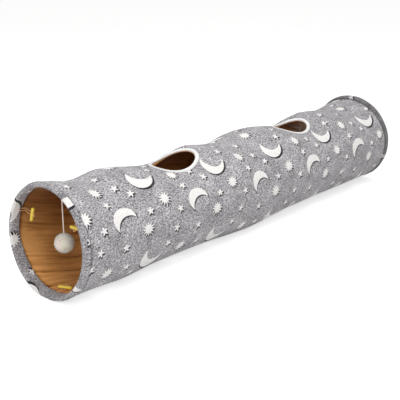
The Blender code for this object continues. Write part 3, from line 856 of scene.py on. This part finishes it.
def rim_section():
    """Strip folded over the hoop: padded between its seam, its line of stitches and the fold."""
    def puff(share):
        """How far the outer strip stands proud, from the fold to its seam."""
        return (0.0020 * math.sin(math.pi * share) ** 0.6 - 0.0010 * share ** 10
                - 0.0007 * math.exp(-((share - 0.80) / 0.05) ** 2))
    outer = [(FOLD + share * (RIM_OUTER - FOLD), -puff(share)) for share in np.linspace(1, 0, 20)]
    bend = [(FOLD - (FOLD + 0.0004) * math.sin(t), FOLD - (FOLD + 0.0001) * math.cos(t))
            for t in np.linspace(0, math.pi, 11)[1:-1]]
    inner = [(FOLD + share * (RIM_FACING - FOLD), FACING_STACK - 0.0002 + 0.0005 * math.sin(
        math.pi * share)) for share in np.linspace(0, 1, 10)]
    back = [(RIM_FACING - 0.0003, LINING_INSET + 0.0001), (FOLD, LINING_INSET)]
    hollow = [(FOLD - (FOLD - COVER_CLOTH) * math.sin(t), FOLD + (FOLD - COVER_CLOTH) * math.cos(t))
              for t in np.linspace(0, math.pi, 7)[1:-1]]
    under = [(FOLD, COVER_CLOTH), (RIM_OUTER - 0.0004, COVER_CLOTH - 0.0002)]
    return outer + bend + inner + back + hollow + under


def strip_widths(angle, far):
    """How far the band reaches outside and inside the tunnel at an angle."""
    outside = FAR_STRIP if far else seam_station(angle)
    inside = FACING_SHOWN + 0.0016 * math.sin(2 * angle + 0.8) + 0.0008 * math.sin(5 * angle)
    return outside, inside


def rim_band(name, far, material):
    """Plush strip over a mouth's hoop, rumpled outside, with its print, pressed seam and painted
    shading.
    """
    section = rim_section()

    def sewn(angle, along, inset):
        """The section's stations at an angle, narrowed to the widths that show there."""
        outside, inside = strip_widths(angle, far)
        out_share = (outside - FOLD) / (RIM_OUTER - FOLD)
        in_share = (inside - FOLD) / (RIM_FACING - FOLD)
        share = np.where(inset < BAND_REACH, out_share, in_share)
        return np.where(along > FOLD, FOLD + (along - FOLD) * share, along)

    def place(turn, along, inset):
        angle = turn - math.pi
        station = sewn(angle, along, inset)
        ring = 3 * math.cos(angle), 3 * math.sin(angle)
        wave = 0.0007 * noise.noise(Vector((*ring, far * 5.0)))
        creased = np.array([noise.noise(Vector((ring[0] * 1.5, ring[1] * 1.5, s * 190)))
                            for s in station])
        proud = np.where(inset < 0.0035, wave, 0.0) + np.where(
            inset < 0.001, 0.0009 * creased * smooth((along - FOLD) / 0.006), 0.0)
        station = np.where(along < 0.004, station - 0.4 * wave, station)
        return wall(LENGTH - station if far else station, angle, inset - proud)

    def cloth(turn, corner):
        """Across the strip from its fold, and round it."""
        angle = turn - math.pi
        along, inset = section[corner % len(section)]
        if along <= FOLD:
            across = FOLD * math.acos(max(-1.0, min(1.0, 1 - inset / FOLD)))
        else:
            station = float(sewn(angle, np.array(along), np.array(inset)))
            across = FOLD - station if inset < BAND_REACH else math.pi * FOLD + station - FOLD
        return across, RADIUS * angle

    # painted shade at the seam, along the stitches and in a crease of the strip, and painted light
    # on the strip near its fold
    share = np.array([(along - FOLD) / (RIM_OUTER - FOLD) if inset < 0.001 else 0.0
                      for along, inset in section])
    pressed = FLAT - FLAT * smooth((share - 0.90) / 0.08)
    pressed = pressed - 0.26 * np.exp(-((share - 0.80) / 0.05) ** 2)
    pressed = pressed + 0.20 * np.exp(-((share - 0.30) / 0.16) ** 2)
    pressed = pressed - 0.14 * np.exp(-((share - 0.58) / 0.07) ** 2)
    return swept_band(name, section, 192, place, cloth, material, pressed)


def hole_edge(middle, turn, spread, inset):
    """Points round a peek hole, spread outwards from its cut edge."""
    across = (HOLE_HALF_WIDTH + spread) * math.sin(turn)
    station = middle + (HOLE_HALF_LENGTH + spread) * math.cos(turn)
    return wall(station, HOLE_ANGLE + np.arcsin(across / RADIUS), inset)


def binding_section():
    """Tape folded over the cut edge, rounded at the fold, thin and stitched down at its edges."""
    over, under, tape, width, lap = -0.0005, 0.0031, 0.0012, 0.0078, 0.0022
    middle, half = (over + under) / 2, (under - over) / 2
    points = [(lap, under), (0.0008, under)]
    points += [(0.0008 - 0.0006 * math.sin(t), middle + half * math.cos(t))
               for t in np.linspace(0, math.pi, 5)[1:-1]]
    points += [(0.0008, over), (width, over + 0.0002)]
    points += [(width + 0.0004, over - 0.4 * tape), (width - 0.0008, over - tape),
               (width * 0.66, over - tape * 0.8), (width * 0.33, over - tape * 1.15)]
    points += [(0.0002 - (tape + 0.0008) * math.sin(t), middle - (half + tape) * math.cos(t))
               for t in np.linspace(0, math.pi, 9)]
    points += [(lap * 0.6, under + tape), (lap + 0.0004, under + 0.4 * tape)]
    return points


def hole_binding(name, middle, material):
    """Tape round a peek hole, slightly puckered."""
    section = binding_section()
    girth = np.cumsum([0] + [math.dist(a, b) for a, b in zip(section, section[1:] + section[:1])])

    def place(turn, along, inset):
        pucker = 0.0005 * noise.noise(Vector((9 * math.cos(turn), 9 * math.sin(turn), middle)))
        return hole_edge(middle, turn, along + pucker, inset)

    def cloth(turn, corner):
        return girth[corner], HOLE_MEAN_RADIUS * turn

    return swept_band(name, section, 144, place, cloth, material)


def lining_lip(name, middle, material):
    """Turned edge of the lining under the tape, deepest at the side that the photograph shows."""
    section = [(0.0062, 0.0), (0.0004, 0.0), (-0.0004, 0.5), (-0.0008, 1.0), (0.0003, 1.0),
               (0.0008, 0.5), (0.0014, 0.0), (0.0062, 0.0)]
    turned_under = np.array([0, 0, 0, 0, 0, 0, 0.0010, 0.0010])

    def place(turn, along, share):
        turn = turn % (2 * math.pi)
        deepest = math.exp(-((turn - 1.24 * math.pi) / 0.80) ** 4)
        ragged = noise.noise(Vector((7 * math.cos(turn), 7 * math.sin(turn), middle)))
        depth = 0.0012 + (0.0048 + 0.0008 * ragged) * deepest
        return hole_edge(middle, turn, along - 0.25 * depth * share,
                         0.0040 + turned_under + depth * share)

    def cloth(turn, corner):
        return 0.01 * (corner % len(section)) / len(section), HOLE_MEAN_RADIUS * turn

    return swept_band(name, section, 144, place, cloth, material)


# ---------------------------------------------------------------- tubes, balls, toggles

def tube(name, path, radii, sides, material, closed=False):
    """Round tube along a path, its UV along the path and round it, its ends closed to a point."""
    path = [Vector(p) for p in path]
    count = len(path)
    rings, uv_rows, length = [], [], 0.0
    normal = None
    for index, point in enumerate(path):
        before = path[index - 1] if index or closed else path[0]
        after = path[(index + 1) % count] if index + 1 < count or closed else path[-1]
        along = (after - before).normalized()
        if normal is None:
            normal = along.orthogonal().normalized()
        normal = (normal - along * normal.dot(along)).normalized()
        side = along.cross(normal)
        radius = radii[index] if hasattr(radii, "__len__") else radii
        rings.append([point + radius * (normal * math.cos(t) + side * math.sin(t))
                      for t in np.linspace(0, 2 * math.pi, sides, endpoint=False)])
        if index:
            length += (point - path[index - 1]).length
        uv_rows.append(length)
    shell = bmesh.new()
    layer = shell.loops.layers.uv.new("Cloth")
    verts = [[shell.verts.new(p) for p in ring] for ring in rings]
    last = count if closed else count - 1
    for index in range(last):
        ring, following = verts[index], verts[(index + 1) % count]
        far = uv_rows[index + 1] if index + 1 < count else length + (path[0] - path[-1]).length
        for side in range(sides):
            face = shell.faces.new((ring[side], ring[(side + 1) % sides],
                                    following[(side + 1) % sides], following[side]))
            for loop, (u, v) in zip(face.loops, ((uv_rows[index], side), (uv_rows[index], side + 1),
                                                 (far, side + 1), (far, side))):
                loop[layer].uv = (u, v / sides)
    if not closed:
        for ring, point, way in ((verts[0], path[0], path[0] - path[1]),
                                 (verts[-1], path[-1], path[-1] - path[-2])):
            radius = (ring[0].co - point).length
            tip = shell.verts.new(point + way.normalized() * radius * 0.35)
            for side in range(sides):
                shell.faces.new((ring[side], ring[(side + 1) % sides], tip))
    bmesh.ops.recalc_face_normals(shell, faces=shell.faces)
    return shell_piece(name, shell, material)


def smooth_path(points, steps, closed=False):
    """Catmull-Rom curve through the points."""
    points = [Vector(p) for p in points]
    count = len(points)
    made = []
    for index in range(count if closed else count - 1):
        if closed:
            a, b, c, d = (points[(index + k) % count] for k in (-1, 0, 1, 2))
        else:
            b, c = points[index], points[index + 1]
            a = points[index - 1] if index else b + (b - c)
            d = points[index + 2] if index + 2 < count else c + (c - b)
        for step in range(steps):
            t = step / steps
            made.append(0.5 * ((2 * b) + (c - a) * t + (2 * a - 5 * b + 4 * c - d) * t * t
                               + (3 * b - a - 3 * c + d) * t ** 3))
    if not closed:
        made.append(points[-1])
    return made


# ---------------------------------------------------------------- geometry node trees

class Growth(Nodes):
    """A geometry node tree with named inputs for its sizes."""

    def __init__(self, name, inputs):
        super().__init__(bpy.data.node_groups.new(name, "GeometryNodeTree"))
        self.socket("Geometry", "INPUT", "Geometry")
        self.sizes = {label: self.socket(label, "INPUT", kind) for label, kind in inputs.items()}
        self.socket("Geometry", "OUTPUT", "Geometry")
        self.start = self.node("NodeGroupInput")
        self.end = self.node("NodeGroupOutput")

    def given(self, label):
        """What the tree is given under a label."""
        return self.start.outputs[label]

    def thin(self, width, length):
        """Scale of a round instance, from its radius and its length."""
        return self.node("ShaderNodeCombineXYZ", X=width, Y=width, Z=length).outputs[0]

    def evened(self, spacing):
        """The given edge path as a curve, with its points evenly spaced."""
        curve = self.node("GeometryNodeMeshToCurve", Mesh=self.given("Geometry"))
        return self.node("GeometryNodeResampleCurve", {"mode": "LENGTH"}, Curve=curve.outputs[0],
                         Length=self.given(spacing)).outputs[0]

    def close(self, geometry, material):
        """Finish the tree with what it grows, all in one material."""
        real = self.node("GeometryNodeRealizeInstances", Geometry=geometry)
        dyed = self.node("GeometryNodeSetMaterial", Geometry=real.outputs[0], Material=material)
        self.feed(self.end.inputs[0], dyed.outputs[0])

    def grow(self, piece, **values):
        """Put the tree on a piece with these values, and make the result final."""
        modifier = piece.modifiers.new(self.tree.name, "NODES")
        modifier.node_group = self.tree
        for label, value in values.items():
            modifier[self.sizes[label.replace("_", " ")].identifier] = value
        finished(piece)
        smooth_faces(piece.data)
        return piece


def stitch_growth(thread):
    """Short raised stitches laid end to end along an edge path."""
    tree = Growth("Stitches", {"Stitch spacing": "Float", "Stitch length": "Float",
                               "Thread radius": "Float"})
    points = tree.node("GeometryNodeCurveToPoints", {"mode": "EVALUATED"},
                       Curve=tree.evened("Stitch spacing"))
    bead = tree.node("GeometryNodeMeshUVSphere", Segments=6, Rings=5, Radius=1.0)
    size = tree.thin(tree.given("Thread radius"),
                     tree.sums("MULTIPLY", tree.given("Stitch length"), 0.5))
    laid = tree.node("GeometryNodeInstanceOnPoints", Points=points.outputs["Points"],
                     Instance=bead.outputs["Mesh"], Rotation=points.outputs["Rotation"],
                     Scale=size)
    tree.close(laid.outputs[0], thread)
    return tree


def path_piece(name, points, closed=True):
    """Edges through the points, for a tree to grow on."""
    mesh = bpy.data.meshes.new(name)
    count = len(points)
    edges = [(i, (i + 1) % count) for i in range(count if closed else count - 1)]
    mesh.from_pydata([tuple(p) for p in points], edges, [])
    return link(bpy.data.objects.new(name, mesh))


def coil_growth(steel):
    """Spring wire: round bar swept along the coil's path."""
    tree = Growth("Sprung wire", {"Wire radius": "Float", "Point spacing": "Float"})
    ring = tree.node("GeometryNodeCurvePrimitiveCircle", {"mode": "RADIUS"}, Resolution=10,
                     Radius=tree.given("Wire radius"))
    bar = tree.node("GeometryNodeCurveToMesh", Curve=tree.evened("Point spacing"),
                    Profile_Curve=ring.outputs[0], Fill_Caps=True)
    tree.close(bar.outputs[0], steel)
    return tree


def pile_growth(fibre):
    """Short fibres that stand on a ball, each leaning a little its own way."""
    tree = Growth("Ball pile", {"Fibre length": "Float", "Fibre radius": "Float",
                                "Fibres per area": "Float", "Seed": "Int"})
    spread = tree.node("GeometryNodeDistributePointsOnFaces", Mesh=tree.given("Geometry"),
                       Density=tree.given("Fibres per area"), Seed=tree.given("Seed"))
    tuft = tree.node("GeometryNodeMeshCone", {"fill_type": "NGON"}, Vertices=4, Side_Segments=1,
                     Radius_Top=0.35, Radius_Bottom=1.0, Depth=1.0)
    turn = tree.node("FunctionNodeRandomValue", {"data_type": "FLOAT_VECTOR"},
                     Seed=tree.given("Seed"))
    turn.inputs[0].default_value = (-0.55, -0.55, 0.0)
    turn.inputs[1].default_value = (0.55, 0.55, 6.28)
    leaning = tree.node("FunctionNodeRotateEuler", {"space": "LOCAL"},
                        Rotation=spread.outputs["Rotation"], Rotate_By=turn.outputs[0])
    reach = tree.node("FunctionNodeRandomValue", {"data_type": "FLOAT"}, Seed=tree.given("Seed"))
    reach.inputs[2].default_value = 0.6
    reach.inputs[3].default_value = 1.25
    size = tree.thin(tree.given("Fibre radius"),
                     tree.sums("MULTIPLY", tree.given("Fibre length"), reach.outputs[1]))
    stood = tree.node("GeometryNodeInstanceOnPoints", Points=spread.outputs["Points"],
                      Instance=tuft.outputs["Mesh"], Rotation=leaning.outputs[0], Scale=size)
    both = tree.node("GeometryNodeJoinGeometry")
    tree.feed(both.inputs[0], stood.outputs[0])
    tree.feed(both.inputs[0], tree.given("Geometry"))
    tree.close(both.outputs[0], fibre)
    return tree


# ---------------------------------------------------------------- the pieces

def ridden(piece, body, slot, *nodes):
    """A piece that rides on a body, and may stand for nodes of the CAD, which are hidden; its slot
    argument is not used.
    """
    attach(piece, body)
    if nodes:
        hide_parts(*nodes)
    return piece


def squashed(piece):
    """A piece given its own copy of its mesh."""
    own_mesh(piece)
    return piece


def dress_walls(paints, stitches):
    """Cover, lining and peek holes, and the rings that stay in each mouth when they squash."""
    ring = RIM_OUTER + SEAM_PLAY
    cover = wall_sheet("plush_cover", np.linspace(ring, LENGTH - ring, 250), COVER_AROUND, 0.0,
                       COVER_CLOTH, cover_ripple, paints["plush"])
    ridden(cover, "near_end", "grey_plush", "outer_cover")
    squashed(cover)

    for side, ends in (("near", (COVER_END, ring)), ("far", (LENGTH - ring, LENGTH - COVER_END))):
        tucked = wall_sheet(side + "_tucked_cover_end", np.linspace(*ends, 24), COVER_AROUND,
                            0.0, COVER_CLOTH, tucked_ripple, paints["tucked"])
        ridden(tucked, side + "_end", "grey_plush")

    stations = np.linspace(RIM_FACING, LENGTH - RIM_FACING, 236)
    lining = wall_sheet("satin_lining", stations, LINING_AROUND, LINING_INSET, LINING_CLOTH,
                        lining_ripple, paints["lining"], CREASE_SLANT)
    ridden(lining, "near_end", "brown_lining", "inner_lining")
    squashed(lining)
    for side, body, ends in (("near", "near_end", (LINING_END, RIM_FACING)),
                             ("far", "far_end", (LENGTH - RIM_FACING, LENGTH - LINING_END))):
        hem = wall_sheet(side + "_lining_hem", np.linspace(*ends, 6), LINING_AROUND,
                         LINING_INSET, LINING_CLOTH, hem_ripple, paints["lining"],
                         CREASE_SLANT)
        ridden(hem, body, "brown_lining")

    for side, middle in HOLE_STATIONS.items():
        binding = hole_binding(side + "_hole_tape", middle, paints["binding"])
        ridden(binding, "near_end", "cream_binding", side + "_hole_binding")
        squashed(binding)
        lip = lining_lip(side + "_hole_lining_lip", middle, paints["lip"])
        ridden(lip, "near_end", "brown_lining")
        squashed(lip)
        line = [hole_edge(middle, turn, 0.0062, -0.0018)
                for turn in np.linspace(0, 2 * math.pi, 120, endpoint=False)]
        row = stitches.grow(path_piece(side + "_hole_stitches", line), Stitch_spacing=0.0040,
                            Stitch_length=0.0030, Thread_radius=0.00028)
        ridden(row, "near_end", "cream_binding")
        squashed(row)


def dress_rims(paints, stitches):
    """A band over each hoop, with its row of stitches near the outer edge."""
    for side, body in (("near", "near_end"), ("far", "far_end")):
        far = side == "far"
        band = rim_band(side + "_rim_plush", far, paints[side + "_rim"])
        ridden(band, body, "grey_plush", side + "_rim_band")
        line = []
        for angle in np.linspace(-math.pi, math.pi, 200, endpoint=False):
            station = FOLD + 0.84 * (strip_widths(angle, far)[0] - FOLD)
            line.append(wall(LENGTH - station if far else station, angle, -0.0009))
        row = stitches.grow(path_piece(side + "_rim_stitches", line), Stitch_spacing=0.0044,
                            Stitch_length=0.0032, Thread_radius=0.00035)
        ridden(row, body, "grey_plush")


def coil_path():
    """The wire's middle line, as in the part's source, with its closed end hoops."""
    step, ramp_turns = WIRE + 0.0011, 0.35
    hoops = 1 + 2 / FACETS
    run = FOLD + step * hoops + (step + TURN_SPACING) / 2 * ramp_turns
    ramp_end = 1 - (CREST_STATION - run) / TURN_SPACING
    far_start = 1 + (LENGTH - run - CREST_STATION) / TURN_SPACING
    start, end = ramp_end - ramp_turns - hoops, far_start + ramp_turns + hoops

    def hoop(turns_in):
        into = max(0.0, turns_in - hoops)
        return FOLD + step * turns_in + (TURN_SPACING - step) * into * into / (2 * ramp_turns)

    path = []
    for turn in np.arange(start, end, 1 / 96):
        if turn < ramp_end:
            station = hoop(turn - start)
        elif turn > far_start:
            station = LENGTH - hoop(end - turn)
        else:
            station = CREST_STATION + TURN_SPACING * (turn - 1)
        path.append(wall(station, 2 * math.pi * turn, WIRE_INSET))
    return path


def dress_coil(paints):
    """One sprung wire from mouth to mouth."""
    tree = coil_growth(paints["steel"])
    coil = tree.grow(path_piece("spring_wire", coil_path(), closed=False),
                     Wire_radius=WIRE / 2, Point_spacing=0.009)
    ridden(coil, "near_end", "spring_steel", "spring_coil")
    squashed(coil)


def ball_mesh(name, centre, material):
    """The ball under its pile, a little lumpy."""
    ball = bmesh.new()
    bmesh.ops.create_icosphere(ball, subdivisions=4, radius=1.0)
    for corner in ball.verts:
        way = corner.co.normalized()
        swell = noise.noise(way * 2.2 + Vector((centre[0], 0, 0))) * 0.035
        swell += noise.noise(way * 9.0) * 0.018
        corner.co = Vector(centre) + way * CORE_RADIUS * (1 + swell)
    return shell_piece(name, ball, material)


def hang_ball(side, paints, pile):
    """A ball, its string, and the loop of string that holds it to its tab."""
    (x, y), (loop_top, string_top), centre_height, seed = BALLS[side]
    ball = pile.grow(ball_mesh(side + "_plush_ball", (x, y, centre_height), paints["ball"]),
                     Fibre_length=PILE_LENGTH, Fibre_radius=0.00026, Fibres_per_area=700000.0,
                     Seed=seed)
    ridden(ball, side + "_ball_swing", "ball_plush", side + "_ball")
    end = centre_height + BALL_RADIUS + 0.0003
    drop = [(x, y, z) for z in np.linspace(string_top, end, 24)]
    string = tube(side + "_string", drop, STRING_RADIUS, 10, paints["string"])
    ridden(string, side + "_ball_swing", "pale_string", side + "_ball_string")
    centre = Vector((x, y, loop_top - STRING_LOOP))
    ring = [centre + STRING_LOOP * Vector((math.sin(t), 0, math.cos(t)))
            for t in np.linspace(0, 2 * math.pi, 40, endpoint=False)]
    loop = tube(side + "_loop_of_string", ring, STRING / 2, 10, paints["string"], closed=True)
    ridden(loop, side + "_ball_loop", "pale_string", side + "_string_loop")
    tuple(drop[0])


def tape_tab(side, paints):
    """Doubled tape with a rounded end and an eye for the loop of string."""
    root, tilt, body = TABS[side]
    steps = 24
    foot = Vector((0, -TAB_DROP))
    outer, inner = [], []
    for step in range(steps):
        turn = 2 * math.pi * step / steps + math.pi / steps
        way = Vector((math.cos(turn), math.sin(turn)))
        inner.append(way * TAB_EYE + foot)
        reach = TAB_HALF_WIDTH
        if way.y > 0:
            reach = min(TAB_HALF_WIDTH / max(abs(way.x), 1e-6), TAB_DROP / way.y)
        outer.append(way * reach + foot)
    flat = bmesh.new()
    layer = flat.loops.layers.uv.new("Cloth")
    rims = [[flat.verts.new((p.x, p.y, 0)) for p in ring] for ring in (outer, inner)]
    for step in range(steps):
        after = (step + 1) % steps
        face = flat.faces.new((rims[0][step], rims[0][after], rims[1][after], rims[1][step]))
        for loop in face.loops:
            loop[layer].uv = (loop.vert.co.x, loop.vert.co.y)
    turn = Matrix.Rotation(math.pi / 2, 4, "Z") @ Matrix.Rotation(math.pi / 2, 4, "X")
    bmesh.ops.transform(flat, verts=flat.verts,
                        matrix=Matrix.Translation(root) @ Matrix.Rotation(tilt, 4, "X") @ turn)
    tab = shell_piece(side + "_tape_tab", flat, paints["tape"])
    cloth = tab.modifiers.new("Tape", "SOLIDIFY")
    cloth.thickness = TAB_CLOTH
    cloth.offset = 0.0
    soft = tab.modifiers.new("Soft edge", "BEVEL")
    soft.width = 0.0003
    soft.segments = 2
    finished(tab)
    ridden(tab, body, "cream_tape", side + "_ball_tab")


def dress_balls(paints):
    """Both balls, with their strings and the loops of string at their tabs."""
    pile = pile_growth(paints["ball"])
    for side in BALLS:
        hang_ball(side, paints, pile)


def toggle_mesh(name, centre, bar, through, material):
    """Turned bar with rounded ends, a slight waist and two holes for the elastic."""
    straight = TOGGLE_LENGTH / 2 - TOGGLE_RADIUS
    profile = []
    for t in np.linspace(0, math.pi / 2, 9):
        profile.append((TOGGLE_RADIUS * math.sin(t), straight + TOGGLE_RADIUS * math.cos(t)))
    for z in np.linspace(straight, -straight, 15)[1:-1]:
        waist = 0.00035 * math.exp(-(z / 0.006) ** 2)
        profile.append((TOGGLE_RADIUS - waist, z))
    for t in np.linspace(math.pi / 2, 0, 9):
        profile.append((TOGGLE_RADIUS * math.sin(t), -straight - TOGGLE_RADIUS * math.cos(t)))
    line = bmesh.new()
    corners = [line.verts.new((r, 0, z)) for r, z in profile]
    edges = [line.edges.new(pair) for pair in zip(corners, corners[1:])]
    bmesh.ops.spin(line, geom=corners + edges, axis=(0, 0, 1), cent=(0, 0, 0),
                   angle=2 * math.pi, steps=28)
    bmesh.ops.remove_doubles(line, verts=line.verts, dist=0.00001)
    bmesh.ops.recalc_face_normals(line, faces=line.faces)
    z_axis = bar.normalized()
    x_axis = (through - z_axis * through.dot(z_axis)).normalized()
    turn = Matrix((x_axis, z_axis.cross(x_axis), z_axis)).transposed()
    for corner in line.verts:
        corner.co = centre + turn @ corner.co
    piece = shell_piece(name, line, material)
    for side in (-1, 1):
        drill = bmesh.new()
        bore = ELASTIC / 2 + 0.0004
        bmesh.ops.create_cone(drill, cap_ends=True, segments=20, radius1=bore, radius2=bore,
                              depth=0.03)
        place = Matrix.Translation(centre + z_axis * side * (TOGGLE_HOLES / 2))
        across = x_axis.to_track_quat("Z", "Y").to_matrix().to_4x4()
        bmesh.ops.transform(drill, verts=drill.verts, matrix=place @ across)
        cutter_mesh = bpy.data.meshes.new("Drill")
        drill.to_mesh(cutter_mesh)
        drill.free()
        cutter = link(bpy.data.objects.new("Drill", cutter_mesh))
        hole = piece.modifiers.new("Hole", "BOOLEAN")
        hole.operation, hole.solver, hole.object = "DIFFERENCE", "EXACT", cutter
        finished(piece)
        bpy.data.objects.remove(cutter)
        bpy.data.meshes.remove(cutter_mesh)
    smooth_faces(piece.data)
    piece.data.set_sharp_from_angle(angle=math.radians(50))
    return piece


def facet_frame(station, degrees, far):
    """Where a loop leaves the inside of a rim band, and the way inwards there."""
    angle = math.radians(degrees)
    if far:
        station = LENGTH - station
    facet = angle / (2 * math.pi) * FACETS - 0.5
    first = math.floor(facet)
    ends = [Vector(wall(station, 2 * math.pi * (first + k + 0.5) / FACETS, FACING_STACK).tolist())
            for k in (0, 1)]
    turn = 2 * math.pi * round(angle / (2 * math.pi) * FACETS) / FACETS
    return ends[0].lerp(ends[1], facet - first), Vector((0, math.sin(turn), -math.cos(turn)))


def elastic_path(root, inwards, centre, bar, through, spacing):
    """A doubled loop in three parts: out to the toggle, round behind it, and back to the seam."""
    before = centre - through * (TOGGLE_RADIUS + ELASTIC)
    behind = centre + through * TOGGLE_RADIUS
    half_root = (bar - inwards * bar.dot(inwards)).normalized() * HALF_ROOT
    half = bar * (spacing / 2)
    neck = (before - root).normalized() * 0.003
    points = [root - half_root, root - half_root + neck, before - half]
    bend = [behind - bar * (spacing / 2 * math.cos(t)) + through * (0.0035 * math.sin(t))
            for t in np.linspace(0, math.pi, 9)]
    tail = [before + half, root + half_root + neck, root + half_root]
    return points, bend, tail


def dress_loops(paints):
    """Toggles on their elastic loops in the near mouth, and the open loops in the far one."""
    for side, (degrees, reach, bar) in TOGGLES.items():
        seam, inwards = facet_frame(RIM_FACING - ELASTIC, degrees, False)
        root = seam + inwards * (ELASTIC / 2 * 0.35 + 0.0003)
        reach = Vector(reach) * TOGGLE_REACH
        bar = Vector(bar).normalized()
        centre = seam + reach
        through = (reach - bar * reach.dot(bar)).normalized()
        bar_piece = toggle_mesh(side + "_toggle_bar", centre, bar, through, paints["toggle"])
        ridden(bar_piece, f"toggle_{side}_loop", "yellow_toggle", "toggle_" + side)
        loop = elastic(side + "_elastic",
                       elastic_path(root, inwards, centre, bar, through, TOGGLE_HOLES), paints)
        ridden(loop, f"toggle_{side}_loop", "tan_elastic", "toggle_loop_" + side)
        sewn_ends(side, root, inwards, bar, degrees, paints)

        seam, inwards = facet_frame(RIM_FACING - ELASTIC, degrees, True)
        root = seam + inwards * (ELASTIC / 2 * 0.35 + 0.0003)
        along = inwards.cross(Vector((1, 0, 0)))
        centre = seam + inwards * LOOP_REACH
        loop = elastic("far_" + side + "_elastic",
                       elastic_path(root, inwards, centre, along, inwards, LOOP_WIDTH), paints)
        ridden(loop, "far_end_loop_" + side, "tan_elastic", "far_loop_" + side)
        sewn_ends("far_" + side, root, inwards, along, degrees, paints)


def sewn_ends(side, root, inwards, bar, degrees, paints):
    """The elastic's two ends, from the loop's foot to where the rim band hides them."""
    far = side.startswith("far")
    apart = (bar - inwards * bar.dot(inwards)).normalized() * HALF_ROOT
    hidden = facet_frame(HIDDEN_STATION, degrees, far)[0] - inwards * 0.0012
    path = smooth_path([root - apart, hidden - apart * 0.9, hidden + apart * 0.9, root + apart], 6)
    ends = tube(side + "_elastic_ends", path, ELASTIC / 2 * 0.86, 10, paints["elastic"])
    ridden(ends, "far_end" if far else "near_end", "tan_elastic")


def elastic(name, parts, paints):
    """Covered elastic along the three parts of its path."""
    first, bend, last = parts
    path = smooth_path(first, 5)[:-1] + smooth_path(bend, 2) + smooth_path(last, 5)[1:]
    return tube(name, path, ELASTIC / 2 * 0.92, 12, paints["elastic"])


def paint_all():
    """Every finish by its short name."""
    motif_group("Crescent", crescent)
    motif_group("Sunburst", rayed(12, 0.0108, 0.0190, 1.35))
    motif_group("Small star", rayed(5, 0.0043, 0.0108, 1.15))
    return {
        "plush": plush("Heather plush", (MOONS, SUNS, STARS), PRINT_REPEAT),
        # the near rim's plush is darkened as painted shade, for its facing in the mouth's shade;
        # the far rim's plush is made darker still
        "near_rim": plush("Heather plush of the near rim", RIM_PRINTS["near"], RIM_REPEAT, 0.84),
        "far_rim": plush("Heather plush of the far rim", RIM_PRINTS["far"], RIM_REPEAT, 0.45),
        "tucked": plush("Heather plush at the near seam", ((), SUNS, STARS), PRINT_REPEAT),
        # painted shading towards the crown: painted shade on the lining, painted light on the lip
        # at the peek holes
        "lining": satin_lining("Brown satin lining", (0.46, 0.40, 0.34)),
        "lip": satin_lining("Brown satin at the peek holes", (1.15, 1.2, 1.3)),
        "binding": woven_tape("White binding", colour(255, 255, 254), wear_and_rib_shade=0.94),
        "tape": woven_tape("Cream tape", colour(232, 222, 206)),
        "string": twisted_yarn("Pale string", colour(255, 240, 226)),
        "ball": ball_plush("Greige ball pile"),
        "toggle": moulded_plastic("Yellow toggle", colour(252, 218, 84)),
        "elastic": woven_tape("Tan elastic", colour(246, 188, 130), 700.0, 0.7),
        "steel": drawn_steel("Spring steel", (0.45, 0.45, 0.47), 0.35, 300),
        "crimp": drawn_steel("Crimped steel", (0.62, 0.62, 0.64), 0.42, 200),
        "thread": woven_tape("Grey thread", colour(150, 148, 152), 1200.0),
    }


def main():
    """Camera, light and floor, then every piece."""
    place_camera()
    light_studio()
    lay_floor()
    bpy.context.scene.view_settings.view_transform = "Standard"
    paints = paint_all()
    stitches = stitch_growth(paints["thread"])
    dress_walls(paints, stitches)
    dress_rims(paints, stitches)
    dress_coil(paints)
    dress_balls(paints)
    dress_loops(paints)
    for node in ("coil_ferrule_near", "coil_ferrule_far"):
        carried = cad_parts[node].data
        carried.materials.clear()
        carried.materials.append(paints["crimp"])
    for side in TABS:
        tape_tab(side, paints)


main()
